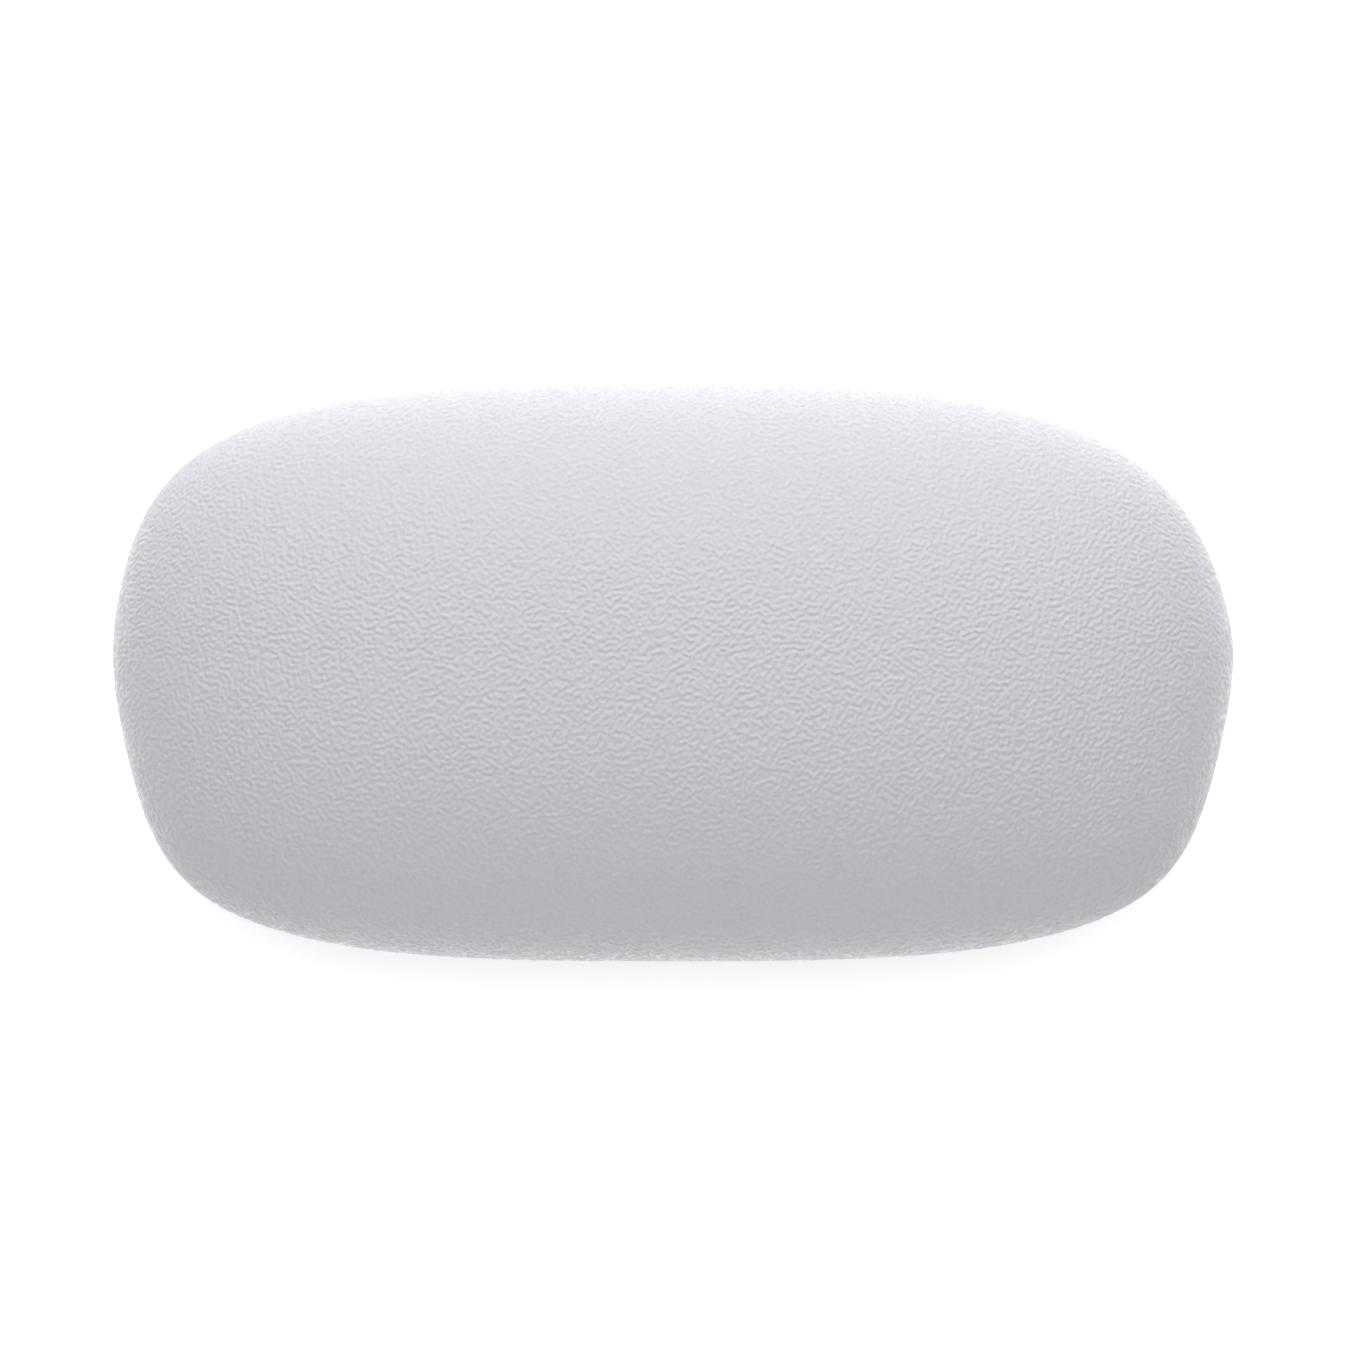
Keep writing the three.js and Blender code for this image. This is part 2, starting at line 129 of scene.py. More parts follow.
# Settings of the outline that the crowned sheet's tree takes as inputs
OUTLINE_RULES = (
    "Waist Rise",
    "Waist Blend",
    "Edge Taper",
    "End Exponent",
    "Upper Exponent",
    "Lower Exponent",
    "Top Lean",
    "Lean Exponent",
)

# Foam: the cells it is remeshed in, its softening, and its room under the skins and around the plate
FOAM_CELL = 0.0016
FOAM_SOFTENING = 4
FOAM_INSET = 0.0006
FOAM_GAP = 0.0002

# Points closer than these count as one: in a mesh, on a turned piece, on a grid, in a flat net and
# in the middle of a sheet
SEAM_GAP = 1e-7
TURNED_GAP = 1e-6
GRID_GAP = 1e-6
NET_GAP = 1e-9
SHORTEST_ARM = 1e-8

# Rounded bends: steps, the most that a bend takes of a side, and the points that support it on a long side
ROUND_STEPS = 5
ROUND_SHARE = 0.45
SUPPORT = 0.0003
LONG_SIDE = 4

# Rounding of moulded edges
CRISP = 0.0002
FINE = 0.0003
SOFT = 0.0004
FULL = 0.0005
FLANGE_ROUND = 0.0007
LIP_ROUND = 0.00024

# Slots of the sockets: height over flange and tip, and half length in shares of the bead's radius
SLOT_RISE = 0.002
SLOT_REACH = 1.2

# Bars of the pull tabs: distance from the tab's sides, radius, how blunt their ends are,
# and distance of the last one from the tab's end
GRIP_MARGIN = 0.0022
GRIP_RADIUS = 0.00035
GRIP_BLUNTNESS = 0.05
GRIP_END = 0.0016

# Stage: the lamps' places and sizes, and half the floor's width, its underside and its top
LAMP_TARGET = (0.0, 0.0, 0.03)
LAMPS = {
    "key": ((0.0, 0.603, 0.274), (1.8, 0.26)),
    "overhead": ((0.0, 0.3, 1.3), (2.4, 1.4)),
    "bounce": ((0.0, -1.1, 0.15), (1.8, 0.25)),
}
FLOOR_REACH = 3.0
FLOOR_HEIGHTS = (-0.02, -0.0003)
SENSOR_WIDTH = 36.0


# Settings that a user would change


def length(description, default):
    return FloatProperty(description=description, default=default, unit="LENGTH", precision=5)


def number(description, default):
    return FloatProperty(description=description, default=default)


def power(description, default):
    return FloatProperty(description=description, default=default, unit="POWER")


def colour(description, default):
    return FloatVectorProperty(
        description=description, default=default, subtype="COLOR", size=3, min=0.0, max=1.0
    )


def named(group):
    """Names each setting of a group as it is called in the script."""
    for name, setting in group.__annotations__.items():
        setting.keywords["name"] = name.replace("_", " ").title()
    return group


@named
class CushionSettings(bpy.types.PropertyGroup):
    """Form, grain and colours of the moulded cushion"""

    width: length("Along the pillow", FRONT_HIGH.x - FRONT_LOW.x)
    height: length("From the lower to the upper edge", FRONT_HIGH.y - FRONT_LOW.y)
    waist_rise: length("Height of the widest line above the middle", 0.0045)
    edge_taper: length("How far each end draws in towards the upper and lower edges", 0.021)
    waist_blend: number("Share of the way to those edges over which the taper sets in", 0.22)
    end_exponent: number("Roundness of the corners along the pillow", 3.05)
    upper_exponent: number("Roundness of the upper corners", 4.35)
    lower_exponent: number("Roundness of the lower corners", 6.3)
    top_lean: length("How far the upper edge leans to the left", 0.005)
    lean_exponent: number("How late on the way up the lean sets in", 1.6)
    crown_base: length("Height of the grained skin's lower rim", FRONT_LOW.z)
    crown_top: length("Height of the crown", FRONT_HIGH.z)
    crown_exponent: number("Fullness of the crown", 2.25)
    back_rim: length("Height of the back skin's upper rim", BACK_HIGH.z)
    back_face: length("Height of the flat back", BACK_LOW.z)
    back_inset: length("How far inside the outline the flat back starts", 0.016)
    back_exponent: number("Fullness of the rounded back edge", 2.2)
    skin_thickness: length("Wall of the moulded skin", 0.002)
    rim_round: length("Rounding of both skins at the parting line", 0.0005)
    recess_radius: length("Radius of the recess around each cup", 0.023)
    recess_depth: length("Depth of that recess", 0.004)
    recess_round: length("Rounding of the recess at its mouth and floor", 0.0009)
    recess_wall: length("Wall of the skin around the recess", 0.0008)
    hole_radius: length("Radius of the hole for a socket", 0.0103)
    sheet_width: length("Length of the grained skin over the crown, end to end", 0.316)
    sheet_height: length("Length of the grained skin over the crown, edge to edge", 0.184)
    mesh_step: length("Spacing of the grained skin's points", 0.00036)
    grain_pitch: length("Distance from ridge to ridge of the grain", 0.00178)
    grain_depth: length("Height of the ridges over the grooves", 0.00028)
    grain_seed: IntProperty(description="Start of the grain's random pattern", default=7)
    skin_colour: colour("Grained skin", (0.640, 0.630, 0.675))
    tint_colour: colour("Faint patches in the grained skin", (0.610, 0.605, 0.700))
    # Painted shade: a darker colour for the bottoms of the grain's grooves, standing in for the shade that
    # falls there
    groove_colour: colour("Bottom of the grain's grooves", (0.585, 0.575, 0.620))
    back_colour: colour("Smooth skin", (0.600, 0.592, 0.630))
    foam_colour: colour("Foam inside", (0.80, 0.74, 0.62))


@named
class CupSettings(bpy.types.PropertyGroup):
    """Sizes and colours of the suction cups and what holds them"""

    cup_radius: length("Radius of the lip", (CUP_HIGH.y - CUP_LOW.y) / 2)
    shoulder_height: length("From the lip to the shoulder", 0.011)
    shoulder_radius: length("Radius of the shoulder", 0.0075)
    flare_radius: length("Radius of the bend in the wall", 0.0144)
    flare_height: length("Height of the bend in the wall", 0.0068)
    lip_width: length("Width of the sealing ring", 0.0034)
    lip_thickness: length("Thickness of the lip", 0.0012)
    hollow_depth: length("Depth of the hollow", 0.007)
    hollow_flare: length("Radius of the bend in the hollow's roof", 0.0125)
    neck_radius: length("Radius of the neck", 0.0047)
    head_radius: length("Radius of the mushroom head", 0.0068)
    head_base: length("Height of the underside of the head", SOCKET_LOW.z + 0.0023)
    head_top: length("Height of the top of the head", CUP_HIGH.z)
    head_edge: length("Thickness of the head's edge", 0.0012)
    tab_width: length("Width of the pull tab", 0.009)
    tab_reach: length("How far the pull tab stands out from the lip", 0.006)
    tab_thickness: length("Thickness of the pull tab", 0.0014)
    tab_lift: length("Height of the pull tab over the wall", 0.0003)
    tab_root: length("How far the pull tab runs into the lip", 0.0026)
    grip_count: IntProperty(description="Bars across the pull tab", default=3)
    grip_pitch: length("Distance between the bars", 0.0014)
    flange_radius: length("Radius of the flange", (SOCKET_HIGH.x - SOCKET_LOW.x) / 2)
    flange_thickness: length("Thickness of the flange", 0.002)
    sleeve_bore: length("Inner radius of the socket's sleeve", 0.008)
    sleeve_wall: length("Wall of the sleeve", 0.002)
    bead_height: length("How far the snap bead stands out", 0.0008)
    bead_base: length("Height of the snap bead's underside", SOCKET_HIGH.z - 0.0022)
    neck_gap: length("Clearance around the neck", 0.0003)
    finger_slot: length("Width of the slots between the sleeve's fingers", 0.0024)
    cup_colour: colour("Clear soft PVC", (0.86, 0.90, 0.92))
    socket_colour: colour("Moulded sockets", (0.52, 0.52, 0.55))
    plate_colour: colour("Carrier plate and its caps", (0.78, 0.78, 0.75))


@named
class StageSettings(bpy.types.PropertyGroup):
    """Camera, light and floor"""

    camera_height: length("Height of the camera over the floor", 1.6)
    frame_width: length("Width of the picture where the cushion is widest", 0.3368)
    key_power: power("Low, from the upper edge", 3.9)
    overhead_power: power("From above", 18.1)
    bounce_power: power("From the lower edge", 3.4)
    ambient: number("Even light from all round", 0.06)
    floor_colour: colour("Plain floor", (0.86, 0.86, 0.86))
    floor_lift: number("Light that the floor shows of its own", 0.58)
    floor_gleam: number("Light that the floor shows in glossy surfaces", 1.0)


@named
class PillowSettings(bpy.types.PropertyGroup):
    """All settings of the bath pillow"""

    cushion: PointerProperty(type=CushionSettings)
    cups: PointerProperty(type=CupSettings)
    stage: PointerProperty(type=StageSettings)


# Node trees


class Term:
    """A value in a node tree, so that what is worked out from it reads as a plain formula."""

    def __init__(self, tree, socket):
        self.tree = tree
        self.socket = socket

    def forwards(self, operation, *others):
        return calc(self.tree, operation, self, *others)

    def backwards(self, operation, other):
        return calc(self.tree, operation, other, self)

    __add__ = partialmethod(forwards, "ADD")
    __sub__ = partialmethod(forwards, "SUBTRACT")
    __rsub__ = partialmethod(backwards, "SUBTRACT")
    __mul__ = partialmethod(forwards, "MULTIPLY")
    __truediv__ = partialmethod(forwards, "DIVIDE")
    __rtruediv__ = partialmethod(backwards, "DIVIDE")
    __pow__ = partialmethod(forwards, "POWER")
    __lt__ = partialmethod(forwards, "LESS_THAN")
    __gt__ = partialmethod(forwards, "GREATER_THAN")
    __abs__ = partialmethod(forwards, "ABSOLUTE")
    at_least = partialmethod(forwards, "MAXIMUM")
    fraction = partialmethod(forwards, "FRACT")
    root = partialmethod(forwards, "SQRT")


def feed(tree, socket, value):
    """Links a socket to a value of the tree, or sets it where the value is plain."""
    if isinstance(value, Term):
        tree.links.new(value.socket, socket)
    else:
        socket.default_value = value


def feed_all(tree, name, values):
    """Feeds the named node's inputs."""
    for label, value in values.items():
        feed(tree, tree.nodes[name].inputs[label], value)


def add_node(tree, kind, inputs=None, **settings):
    """A new node with its settings and inputs, and its outputs by name."""
    node = tree.nodes.new(kind)
    for key, value in settings.items():
        setattr(node, key, value)
    for key, value in (inputs or {}).items():
        feed(tree, node.inputs[key], value)
    return {socket.identifier: Term(tree, socket) for socket in node.outputs}


def calc(tree, operation, *values):
    return add_node(tree, "ShaderNodeMath", dict(enumerate(values)), operation=operation)["Value"]


def between(first, second, share):
    return (second - first) * share + first


def new_geometry_tree(name, inputs):
    """An empty tree with inputs named by kind, and those inputs' values."""
    tree = bpy.data.node_groups.new(name, "GeometryNodeTree")
    for kind, labels in inputs.items():
        for label in labels:
            tree.interface.new_socket(name=label, in_out="INPUT", socket_type="NodeSocket" + kind)
    tree.interface.new_socket(name="Geometry", in_out="OUTPUT", socket_type="NodeSocketGeometry")
    given = tree.nodes.new("NodeGroupInput").outputs
    return tree, {label: Term(tree, given[label]) for labels in inputs.values() for label in labels}


def end_tree(tree, geometry, material):
    """Closes a tree with smooth shading, real geometry and its material."""
    steps = {"SetShadeSmooth": {}, "RealizeInstances": {}, "SetMaterial": {"Material": material}}
    for kind, inputs in steps.items():
        geometry = add_node(tree, "GeometryNode" + kind, {"Geometry": geometry, **inputs})["Geometry"]
    add_node(tree, "NodeGroupOutput", {"Geometry": geometry})


def set_place(tree, geometry, x, y, z):
    place = add_node(tree, "ShaderNodeCombineXYZ", {"X": x, "Y": y, "Z": z})["Vector"]
    return add_node(tree, "GeometryNodeSetPosition", {"Geometry": geometry, "Position": place})["Geometry"]


def split_place(tree, place):
    """X and Y of a place."""
    parts = add_node(tree, "ShaderNodeSeparateXYZ", {"Vector": place})
    return parts["X"], parts["Y"]


def own_position(tree):
    return add_node(tree, "GeometryNodeInputPosition")["Position"]


def grid_places(tree, columns, rows, size):
    """A grid of that many steps, and the X and Y of its points."""
    counts = {"Vertices X": columns + 1.0, "Vertices Y": rows + 1.0}
    grid = add_node(tree, "GeometryNodeMeshGrid", {"Size X": size, "Size Y": size, **counts})
    return grid["Mesh"], *split_place(tree, own_position(tree))


def shape_of(tree, holder):
    info = add_node(tree, "GeometryNodeObjectInfo", {"Object": holder}, transform_space="ORIGINAL")
    return info["Geometry"]


def along_curve(tree, holder, share):
    """X and Y of the point at that share of a drawn line's length."""
    inputs = {"Curves": shape_of(tree, holder), "Factor": share}
    return split_place(tree, add_node(tree, "GeometryNodeSampleCurve", inputs, mode="FACTOR")["Position"])


def keep_attribute(tree, geometry, name, value):
    inputs = {"Geometry": geometry, "Name": name, "Value": value}
    return add_node(tree, "GeometryNodeStoreNamedAttribute", inputs)["Geometry"]


def graded(tree, section, place, half_width):
    """How far out a grid line lies on a drawn half section, as a signed share, and its height there."""
    out, up = along_curve(tree, section, abs(place))
    return out / half_width * calc(tree, "SIGN", place), up


def outline_end(given, side, rise):
    """Half width of the outline and its lean, at a share of the way from the waist to the edge on a side."""
    above = side > 0.0
    blend = given["Waist Blend"]
    exponent = between(given["Lower Exponent"], given["Upper Exponent"], above)
    full = (1.0 - rise**exponent) ** (1.0 / given["End Exponent"])
    taper = ((rise * rise + blend * blend).root() - blend) * given["Edge Taper"]
    lean = rise ** given["Lean Exponent"] * given["Top Lean"] * above
    return (given["Half Width"] - taper) * full, lean


def crowned_sheet_tree():
    """A grid stretched over an outline and raised by two half sections, one along it and one across it."""
    sizes = ("End Share", "Half Width", "Half Height", "Crown Rise", "Rim Round", "Base Height")
    inputs = {
        "Object": ("Outline", "Along", "Across"),
        "Int": ("Columns", "Rows"),
        "Float": (*sizes, *OUTLINE_RULES),
        "Material": ("Material",),
    }
    tree, given = new_geometry_tree("Crowned Sheet", inputs)
    waist = given["Waist Rise"]
    mesh, x, y = grid_places(tree, given["Columns"], given["Rows"], 2.0)
    along, along_height = graded(tree, given["Along"], x, given["Half Width"])
    across, across_height = graded(tree, given["Across"], y, given["Half Height"])
    height = along_height * across_height / given["Crown Rise"]
    # Turns are shares of the way round the outline, counted from the right end.
    side = 1.0 - (y < 0.0) * 2.0
    end_share = given["End Share"] / 4.0
    edge_turn = ((0.25 - along * (0.25 - end_share)) * side).fraction()
    right_turn = (across * end_share).fraction()
    left_turn = 0.5 - across * end_share
    to_right = along * 0.5 + 0.5
    to_edge = abs(across)
    edge_place = along_curve(tree, given["Outline"], edge_turn)
    edge_rise = given["Half Height"] * side - waist
    ends = []
    corners = []
    for corner_turn, way in ((0.5 - side * end_share, -1.0), ((side * end_share).fraction(), 1.0)):
        corner = along_curve(tree, given["Outline"], corner_turn)
        rise = (corner[1] - waist) / edge_rise * to_edge
        half_width, lean = outline_end(given, side, rise)
        ends.append((half_width * way - lean, rise * edge_rise + waist))
        corners.append(corner)
    places = []
    for edge, left_end, right_end, left_corner, right_corner in zip(edge_place, *ends, *corners):
        bulge = edge - between(left_corner, right_corner, to_right)
        places.append(bulge * to_edge + between(left_end, right_end, to_right))
    # The lowest part of the skin turns in under a small round.
    low = (1.0 - height / given["Rim Round"]).at_least(0.0)
    turned_in = 1.0 - (1.0 - low**2.0).root()
    reach = 1.0 - turned_in * given["Rim Round"] / given["Half Height"]
    on_end = abs(x) > abs(y) - GRID_GAP
    end_turn = between(right_turn, left_turn, x < 0.0)
    notes = (abs(x).at_least(abs(y)), between(edge_turn, end_turn, on_end))
    for name, value in zip(SHEET_NOTES, notes):
        mesh = keep_attribute(tree, mesh, name, value)
    raised = height + given["Base Height"]
    mesh = set_place(tree, mesh, places[0] * reach, (places[1] - waist) * reach + waist, raised)
    end_tree(tree, mesh, given["Material"])
    return tree


def turned_piece_tree():
    """A drawn profile of (radius, height) points turned about +Z."""
    inputs = {"Object": ("Profile",), "Int": ("Segments", "Steps"), "Material": ("Material",)}
    tree, given = new_geometry_tree("Turned Piece", inputs)
    mesh, x, y = grid_places(tree, given["Segments"], given["Steps"], 1.0)
    angle = (x + 0.5) * (2.0 * math.pi)
    step = calc(tree, "ROUND", (y + 0.5) * given["Steps"])
    sampled = {"Geometry": shape_of(tree, given["Profile"]), "Value": own_position(tree), "Index": step}
    place = add_node(tree, "GeometryNodeSampleIndex", sampled, data_type="FLOAT_VECTOR")["Value"]
    radius, height = split_place(tree, place)
    cosine, sine = calc(tree, "COSINE", angle), calc(tree, "SINE", angle)
    mesh = set_place(tree, mesh, radius * cosine, radius * sine, height)
    closed = add_node(tree, "GeometryNodeMergeByDistance", {"Geometry": mesh, "Distance": TURNED_GAP})
    end_tree(tree, closed["Geometry"], given["Material"])
    return tree


def grip_bars_tree():
    """Equal bars set side by side along +X."""
    inputs = {
        "Object": ("Bar",),
        "Int": ("Count",),
        "Float": ("Pitch",),
        "Vector": ("Start",),
        "Material": ("Material",),
    }
    tree, given = new_geometry_tree("Grip Bars", inputs)
    offset = add_node(tree, "ShaderNodeCombineXYZ", {"X": given["Pitch"]})["Vector"]
    places = {"Count": given["Count"], "Start Location": given["Start"], "Offset": offset}
    line = add_node(tree, "GeometryNodeMeshLine", places)["Mesh"]
    bars = {"Points": line, "Instance": shape_of(tree, given["Bar"])}
    end_tree(tree, add_node(tree, "GeometryNodeInstanceOnPoints", bars)["Instances"], given["Material"])
    return tree


# Objects


def link_object(name, data):
    made = bpy.data.objects.new(name, data)
    bpy.context.scene.collection.objects.link(made)
    return made


def discard(holder):
    """Removes a helper object and its data."""
    data = holder.data
    bpy.data.objects.remove(holder)
    store = bpy.data.curves if isinstance(data, bpy.types.Curve) else bpy.data.meshes
    store.remove(data)


def plain_mesh(holder):
    """Turns an object's modifiers into a plain mesh of its own."""
    depsgraph = bpy.context.evaluated_depsgraph_get()
    mesh = bpy.data.meshes.new_from_object(
        holder.evaluated_get(depsgraph), preserve_all_data_layers=True, depsgraph=depsgraph
    )
    holder.modifiers.clear()
    before = holder.data
    holder.data = mesh
    bpy.data.meshes.remove(before)
    mesh.name = holder.name
    return holder


def bake_tree(tree, name, values):
    """A new object at the origin whose plain mesh is what the tree makes of these inputs."""
    holder = link_object(name, bpy.data.meshes.new(name))
    modifier = holder.modifiers.new(tree.name, "NODES")
    modifier.node_group = tree
    for item in tree.interface.items_tree:
        if item.in_out == "INPUT":
            modifier[item.identifier] = values[item.name]
    return plain_mesh(holder)


def draw_line(name, points, closed):
    """A helper object that holds a line through points in the XY plane."""
    line = bpy.data.curves.new(name, "CURVE")
    line.dimensions = "3D"
    spline = line.splines.new("POLY")
    spline.points.add(len(points) - 1)
    flat = np.zeros((len(points), 4), np.float32)
    flat[:, :2] = points
    flat[:, 3] = 1.0
    spline.points.foreach_set("co", flat.ravel())
    spline.use_cyclic_u = closed
    return link_object(name, line)


def finish_piece(piece, body, node):
    """Fixes a piece to its body in place of a CAD node."""
    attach(piece, body)
    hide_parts(node)


# Outlines and sections


def evenly_spaced(points, count):
    """That many points along a polyline, at equal steps of its length."""
    steps = np.linalg.norm(np.diff(points, axis=0), axis=1)
    travel = np.concatenate(([0.0], np.cumsum(steps)))
    goals = np.linspace(0.0, travel[-1], count)
    return np.column_stack([np.interp(goals, travel, column) for column in points.T])


def outline_points(cushion, inset, count):
    """Points of the cushion's outline drawn in by inset, anticlockwise from the right end."""
    angle = np.linspace(0.0, 2.0 * math.pi, OUTLINE_SAMPLES + 1)
    upper = np.sin(angle) > 0.0
    rise = np.abs(np.sin(angle))
    exponent = np.where(upper, cushion.upper_exponent, cushion.lower_exponent)
    across = np.clip(1.0 - rise**exponent, 0.0, 1.0) ** (1.0 / cushion.end_exponent)
    taper = cushion.edge_taper * (np.hypot(rise, cushion.waist_blend) - cushion.waist_blend)
    half_width = (cushion.width / 2 - inset - taper) * across
    lean = np.where(upper, cushion.top_lean * rise**cushion.lean_exponent, 0.0)
    edge = np.where(upper, 1.0, -1.0) * (cushion.height / 2 - inset)
    x = np.sign(np.cos(angle)) * half_width - lean
    y = cushion.waist_rise + (edge - cushion.waist_rise) * rise
    return evenly_spaced(np.column_stack((x, y)), count + 1)[:-1]


def quarter_turn(steps, exponent):
    """Quarter of a superellipse, from (1, 0) to (0, 1)."""
    angle = np.linspace(0.0, math.pi / 2, steps + 1)
    return np.clip(np.cos(angle), 0.0, 1.0) ** (2.0 / exponent), np.sin(angle) ** (2.0 / exponent)


def crown_section(cushion, half_width, rise):
    """Half section of the crowned front, from the crown down to its rim, as (distance out, height) points."""
    out, up = quarter_turn(SECTION_SAMPLES, cushion.crown_exponent)
    return np.column_stack((half_width * out, rise * up))[::-1]


def bow(share, exponent):
    """Height of a superelliptic bow at a share of its half width."""
    return np.clip(1.0 - share**exponent, 0.0, 1.0) ** (1.0 / exponent)


def crown_share(cushion, inset, places):
    """Height of the crown over plan places, as a share of the height that nested outlines would give.

    Every cross section of the crown is a full bow, and the bows sink towards both ends along another bow.
    """
    middle = np.array((0.0, cushion.waist_rise))
    rim = outline_points(cushion, inset, OUTLINE_POINTS) - middle
    arm = places - middle
    rim_angle, rim_reach = np.arctan2(rim[:, 1], rim[:, 0]), np.hypot(rim[:, 0], rim[:, 1])
    reach = np.interp(np.arctan2(arm[:, 1], arm[:, 0]), rim_angle, rim_reach, period=2.0 * math.pi)
    ring = np.maximum(np.hypot(arm[:, 0], arm[:, 1]) / reach, 1e-6)
    held = np.minimum(ring, OUTERMOST_BOW)
    x, rise = (arm * (held / ring)[:, None]).T
    edges = []
    for side in (rim[rim[:, 1] >= 0.0], rim[rim[:, 1] <= 0.0]):
        order = np.argsort(side[:, 0])
        edges.append(np.abs(np.interp(x, side[order, 0], side[order, 1])))
    across = np.abs(rise) / np.where(rise > 0.0, *edges)
    along = np.abs(x) / (cushion.width / 2 - inset)
    exponent = cushion.crown_exponent
    return bow(across, exponent) * bow(along, exponent) / bow(held, exponent)


def bend(start, control, end, steps):
    """Points of one smooth bend, without its start."""
    shares = [step / steps for step in range(1, steps + 1)]
    return [
        tuple((1 - s) ** 2 * a + 2 * s * (1 - s) * b + s * s * c for a, b, c in zip(start, control, end))
        for s in shares
    ]


def rounded_profile(*corners):
    """A line of (radius, height) points through corners of (radius, height, rounding), with rounded bends."""
    places = [Vector(corner[:2]) for corner in corners]
    line = []
    for i, (place, corner) in enumerate(zip(places, corners)):
        if corner[2] == 0.0 or i in (0, len(places) - 1):
            line.append(place)
            continue
        back = places[i - 1] - place
        ahead = places[i + 1] - place
        half = back.angle(ahead) / 2
        run = min(corner[2] / math.tan(half), ROUND_SHARE * back.length, ROUND_SHARE * ahead.length)
        first = place + back.normalized() * run
        last = place + ahead.normalized() * run
        if back.length > LONG_SIDE * (run + SUPPORT):
            line.append(first + back.normalized() * SUPPORT)
        for step in range(ROUND_STEPS + 1):
            share = step / ROUND_STEPS
            line.append(first * (1 - share) ** 2 + place * 2 * share * (1 - share) + last * share**2)
        if ahead.length > LONG_SIDE * (run + SUPPORT):
            line.append(last + ahead.normalized() * SUPPORT)
    return [(point.x, point.y) for point in line]


# Meshes


def read_values(items, name, width, kind=float):
    """One value of each item of a mesh, as rows of that width."""
    values = np.zeros(len(items) * width, np.float32 if kind is float else np.int32)
    items.foreach_get(name, values)
    return values.reshape(-1, width).astype(kind)


def face_outwards(mesh):
    """Turns the faces of a closed mesh outwards, after closing its seams."""
    work = bmesh.new()
    work.from_mesh(mesh)
    bmesh.ops.remove_doubles(work, verts=work.verts, dist=SEAM_GAP)
    bmesh.ops.recalc_face_normals(work, faces=work.faces)
    work.to_mesh(mesh)
    work.free()


def shade_smooth(mesh, sharp_degrees):
    mesh.polygons.foreach_set("use_smooth", np.ones(len(mesh.polygons), bool))
    mesh.set_sharp_from_angle(angle=math.radians(sharp_degrees))


def combine(piece, tool, operation):
    """Joins a closed tool to a closed piece, or cuts it out, and removes the tool."""
    modifier = piece.modifiers.new(operation.title(), "BOOLEAN")
    modifier.operation = operation
    modifier.solver = "EXACT"
    modifier.object = tool
    plain_mesh(piece)
    discard(tool)


def displace(piece, name, distance):
    """Moves a piece's faces out along their normals, or in where the distance is negative."""
    modifier = piece.modifiers.new(name, "DISPLACE")
    modifier.mid_level = 0.0
    modifier.strength = distance


def net_inside(loop, step):
    """Points of an even net inside a closed loop of (x, y) points."""
    low, high = loop.min(axis=0), loop.max(axis=0)
    across = [np.arange(low[axis] + step / 2, high[axis], step) for axis in (0, 1)]
    net = np.stack(np.meshgrid(*across), axis=-1).reshape(-1, 2)
    after = np.roll(loop, -1, axis=0)
    crossed = (loop[None, :, 1] > net[:, None, 1]) != (after[None, :, 1] > net[:, None, 1])
    run = after - loop
    share = (net[:, None, 1] - loop[None, :, 1]) / np.where(run[:, 1] == 0.0, 1.0, run[:, 1])[None, :]
    right = net[:, None, 0] < loop[None, :, 0] + share * run[None, :, 0]
    return net[(crossed & right).sum(axis=1) % 2 == 1]


class Rings:
    """Points and faces of one closed piece, gathered ring by ring."""

    def __init__(self):
        self.points = []
        self.faces = []

    def ring(self, points):
        start = len(self.points)
        self.points.extend(points)
        return list(range(start, len(self.points)))

    def bridge(self, first, second):
        for i, start in enumerate(first):
            after = (i + 1) % len(first)
            self.faces.append((start, first[after], second[after], second[i]))

    def strip(self, rings):
        """Faces between neighbouring rings, and the first and last ring."""
        laid = [self.ring(points) for points in rings]
        for first, second in zip(laid, laid[1:]):
            self.bridge(first, second)
        return laid[0], laid[-1]

    def fill(self, loop):
        """Flat faces inside a loop."""
        for triangle in tessellate_polygon([[Vector(self.points[i]) for i in loop]]):
            self.faces.append(tuple(loop[i] for i in triangle))

    def fill_around(self, outer, holes):
        """Flat faces inside the outer loop and outside round holes, over an even net of points."""
        loops = [np.array([self.points[i] for i in loop]) for loop in (outer, *holes)]
        net = net_inside(loops[0][:, :2], NET_STEP)
        for loop in loops:
            gaps = np.linalg.norm(net[:, None, :] - loop[None, :, :2], axis=2).min(axis=1)
            net = net[gaps > NET_STEP / 2]
        rounds = []
        for loop in loops[1:]:
            centre = loop.mean(axis=0)
            rounds.append((centre[:2], np.linalg.norm(loop[0] - centre)))
        for centre, radius in rounds:
            net = net[np.linalg.norm(net - centre, axis=1) > radius]
        added = self.ring([(x, y, loops[0][0, 2]) for x, y in net])
        order = [*outer, *[i for hole in holes for i in hole], *added]
        edges = []
        for loop in loops:
            first = len(edges)
            edges += [(first + i, first + (i + 1) % len(loop)) for i in range(len(loop))]
        places = [Vector(self.points[i][:2]) for i in order]
        points, _, faces, origins, _, _ = delaunay_2d_cdt(places, edges, [], 1, NET_GAP)
        for face in faces:
            middle = sum((points[i] for i in face), Vector((0.0, 0.0))) / len(face)
            if all((middle - Vector(centre)).length > radius for centre, radius in rounds):
                self.faces.append(tuple(order[origins[i][0]] for i in face))

    def make(self, name, material, sharp_degrees=BLOCK_CREASE):
        mesh = bpy.data.meshes.new(name)
        mesh.from_pydata(self.points, [], self.faces)
        mesh.materials.append(material)
        face_outwards(mesh)
        shade_smooth(mesh, sharp_degrees)
        return link_object(name, mesh)


def capped(name, rings, material):
    """A closed piece through rings of points, with flat ends."""
    piece = Rings()
    for end in piece.strip(rings):
        piece.fill(end)
    return piece.make(name, material)


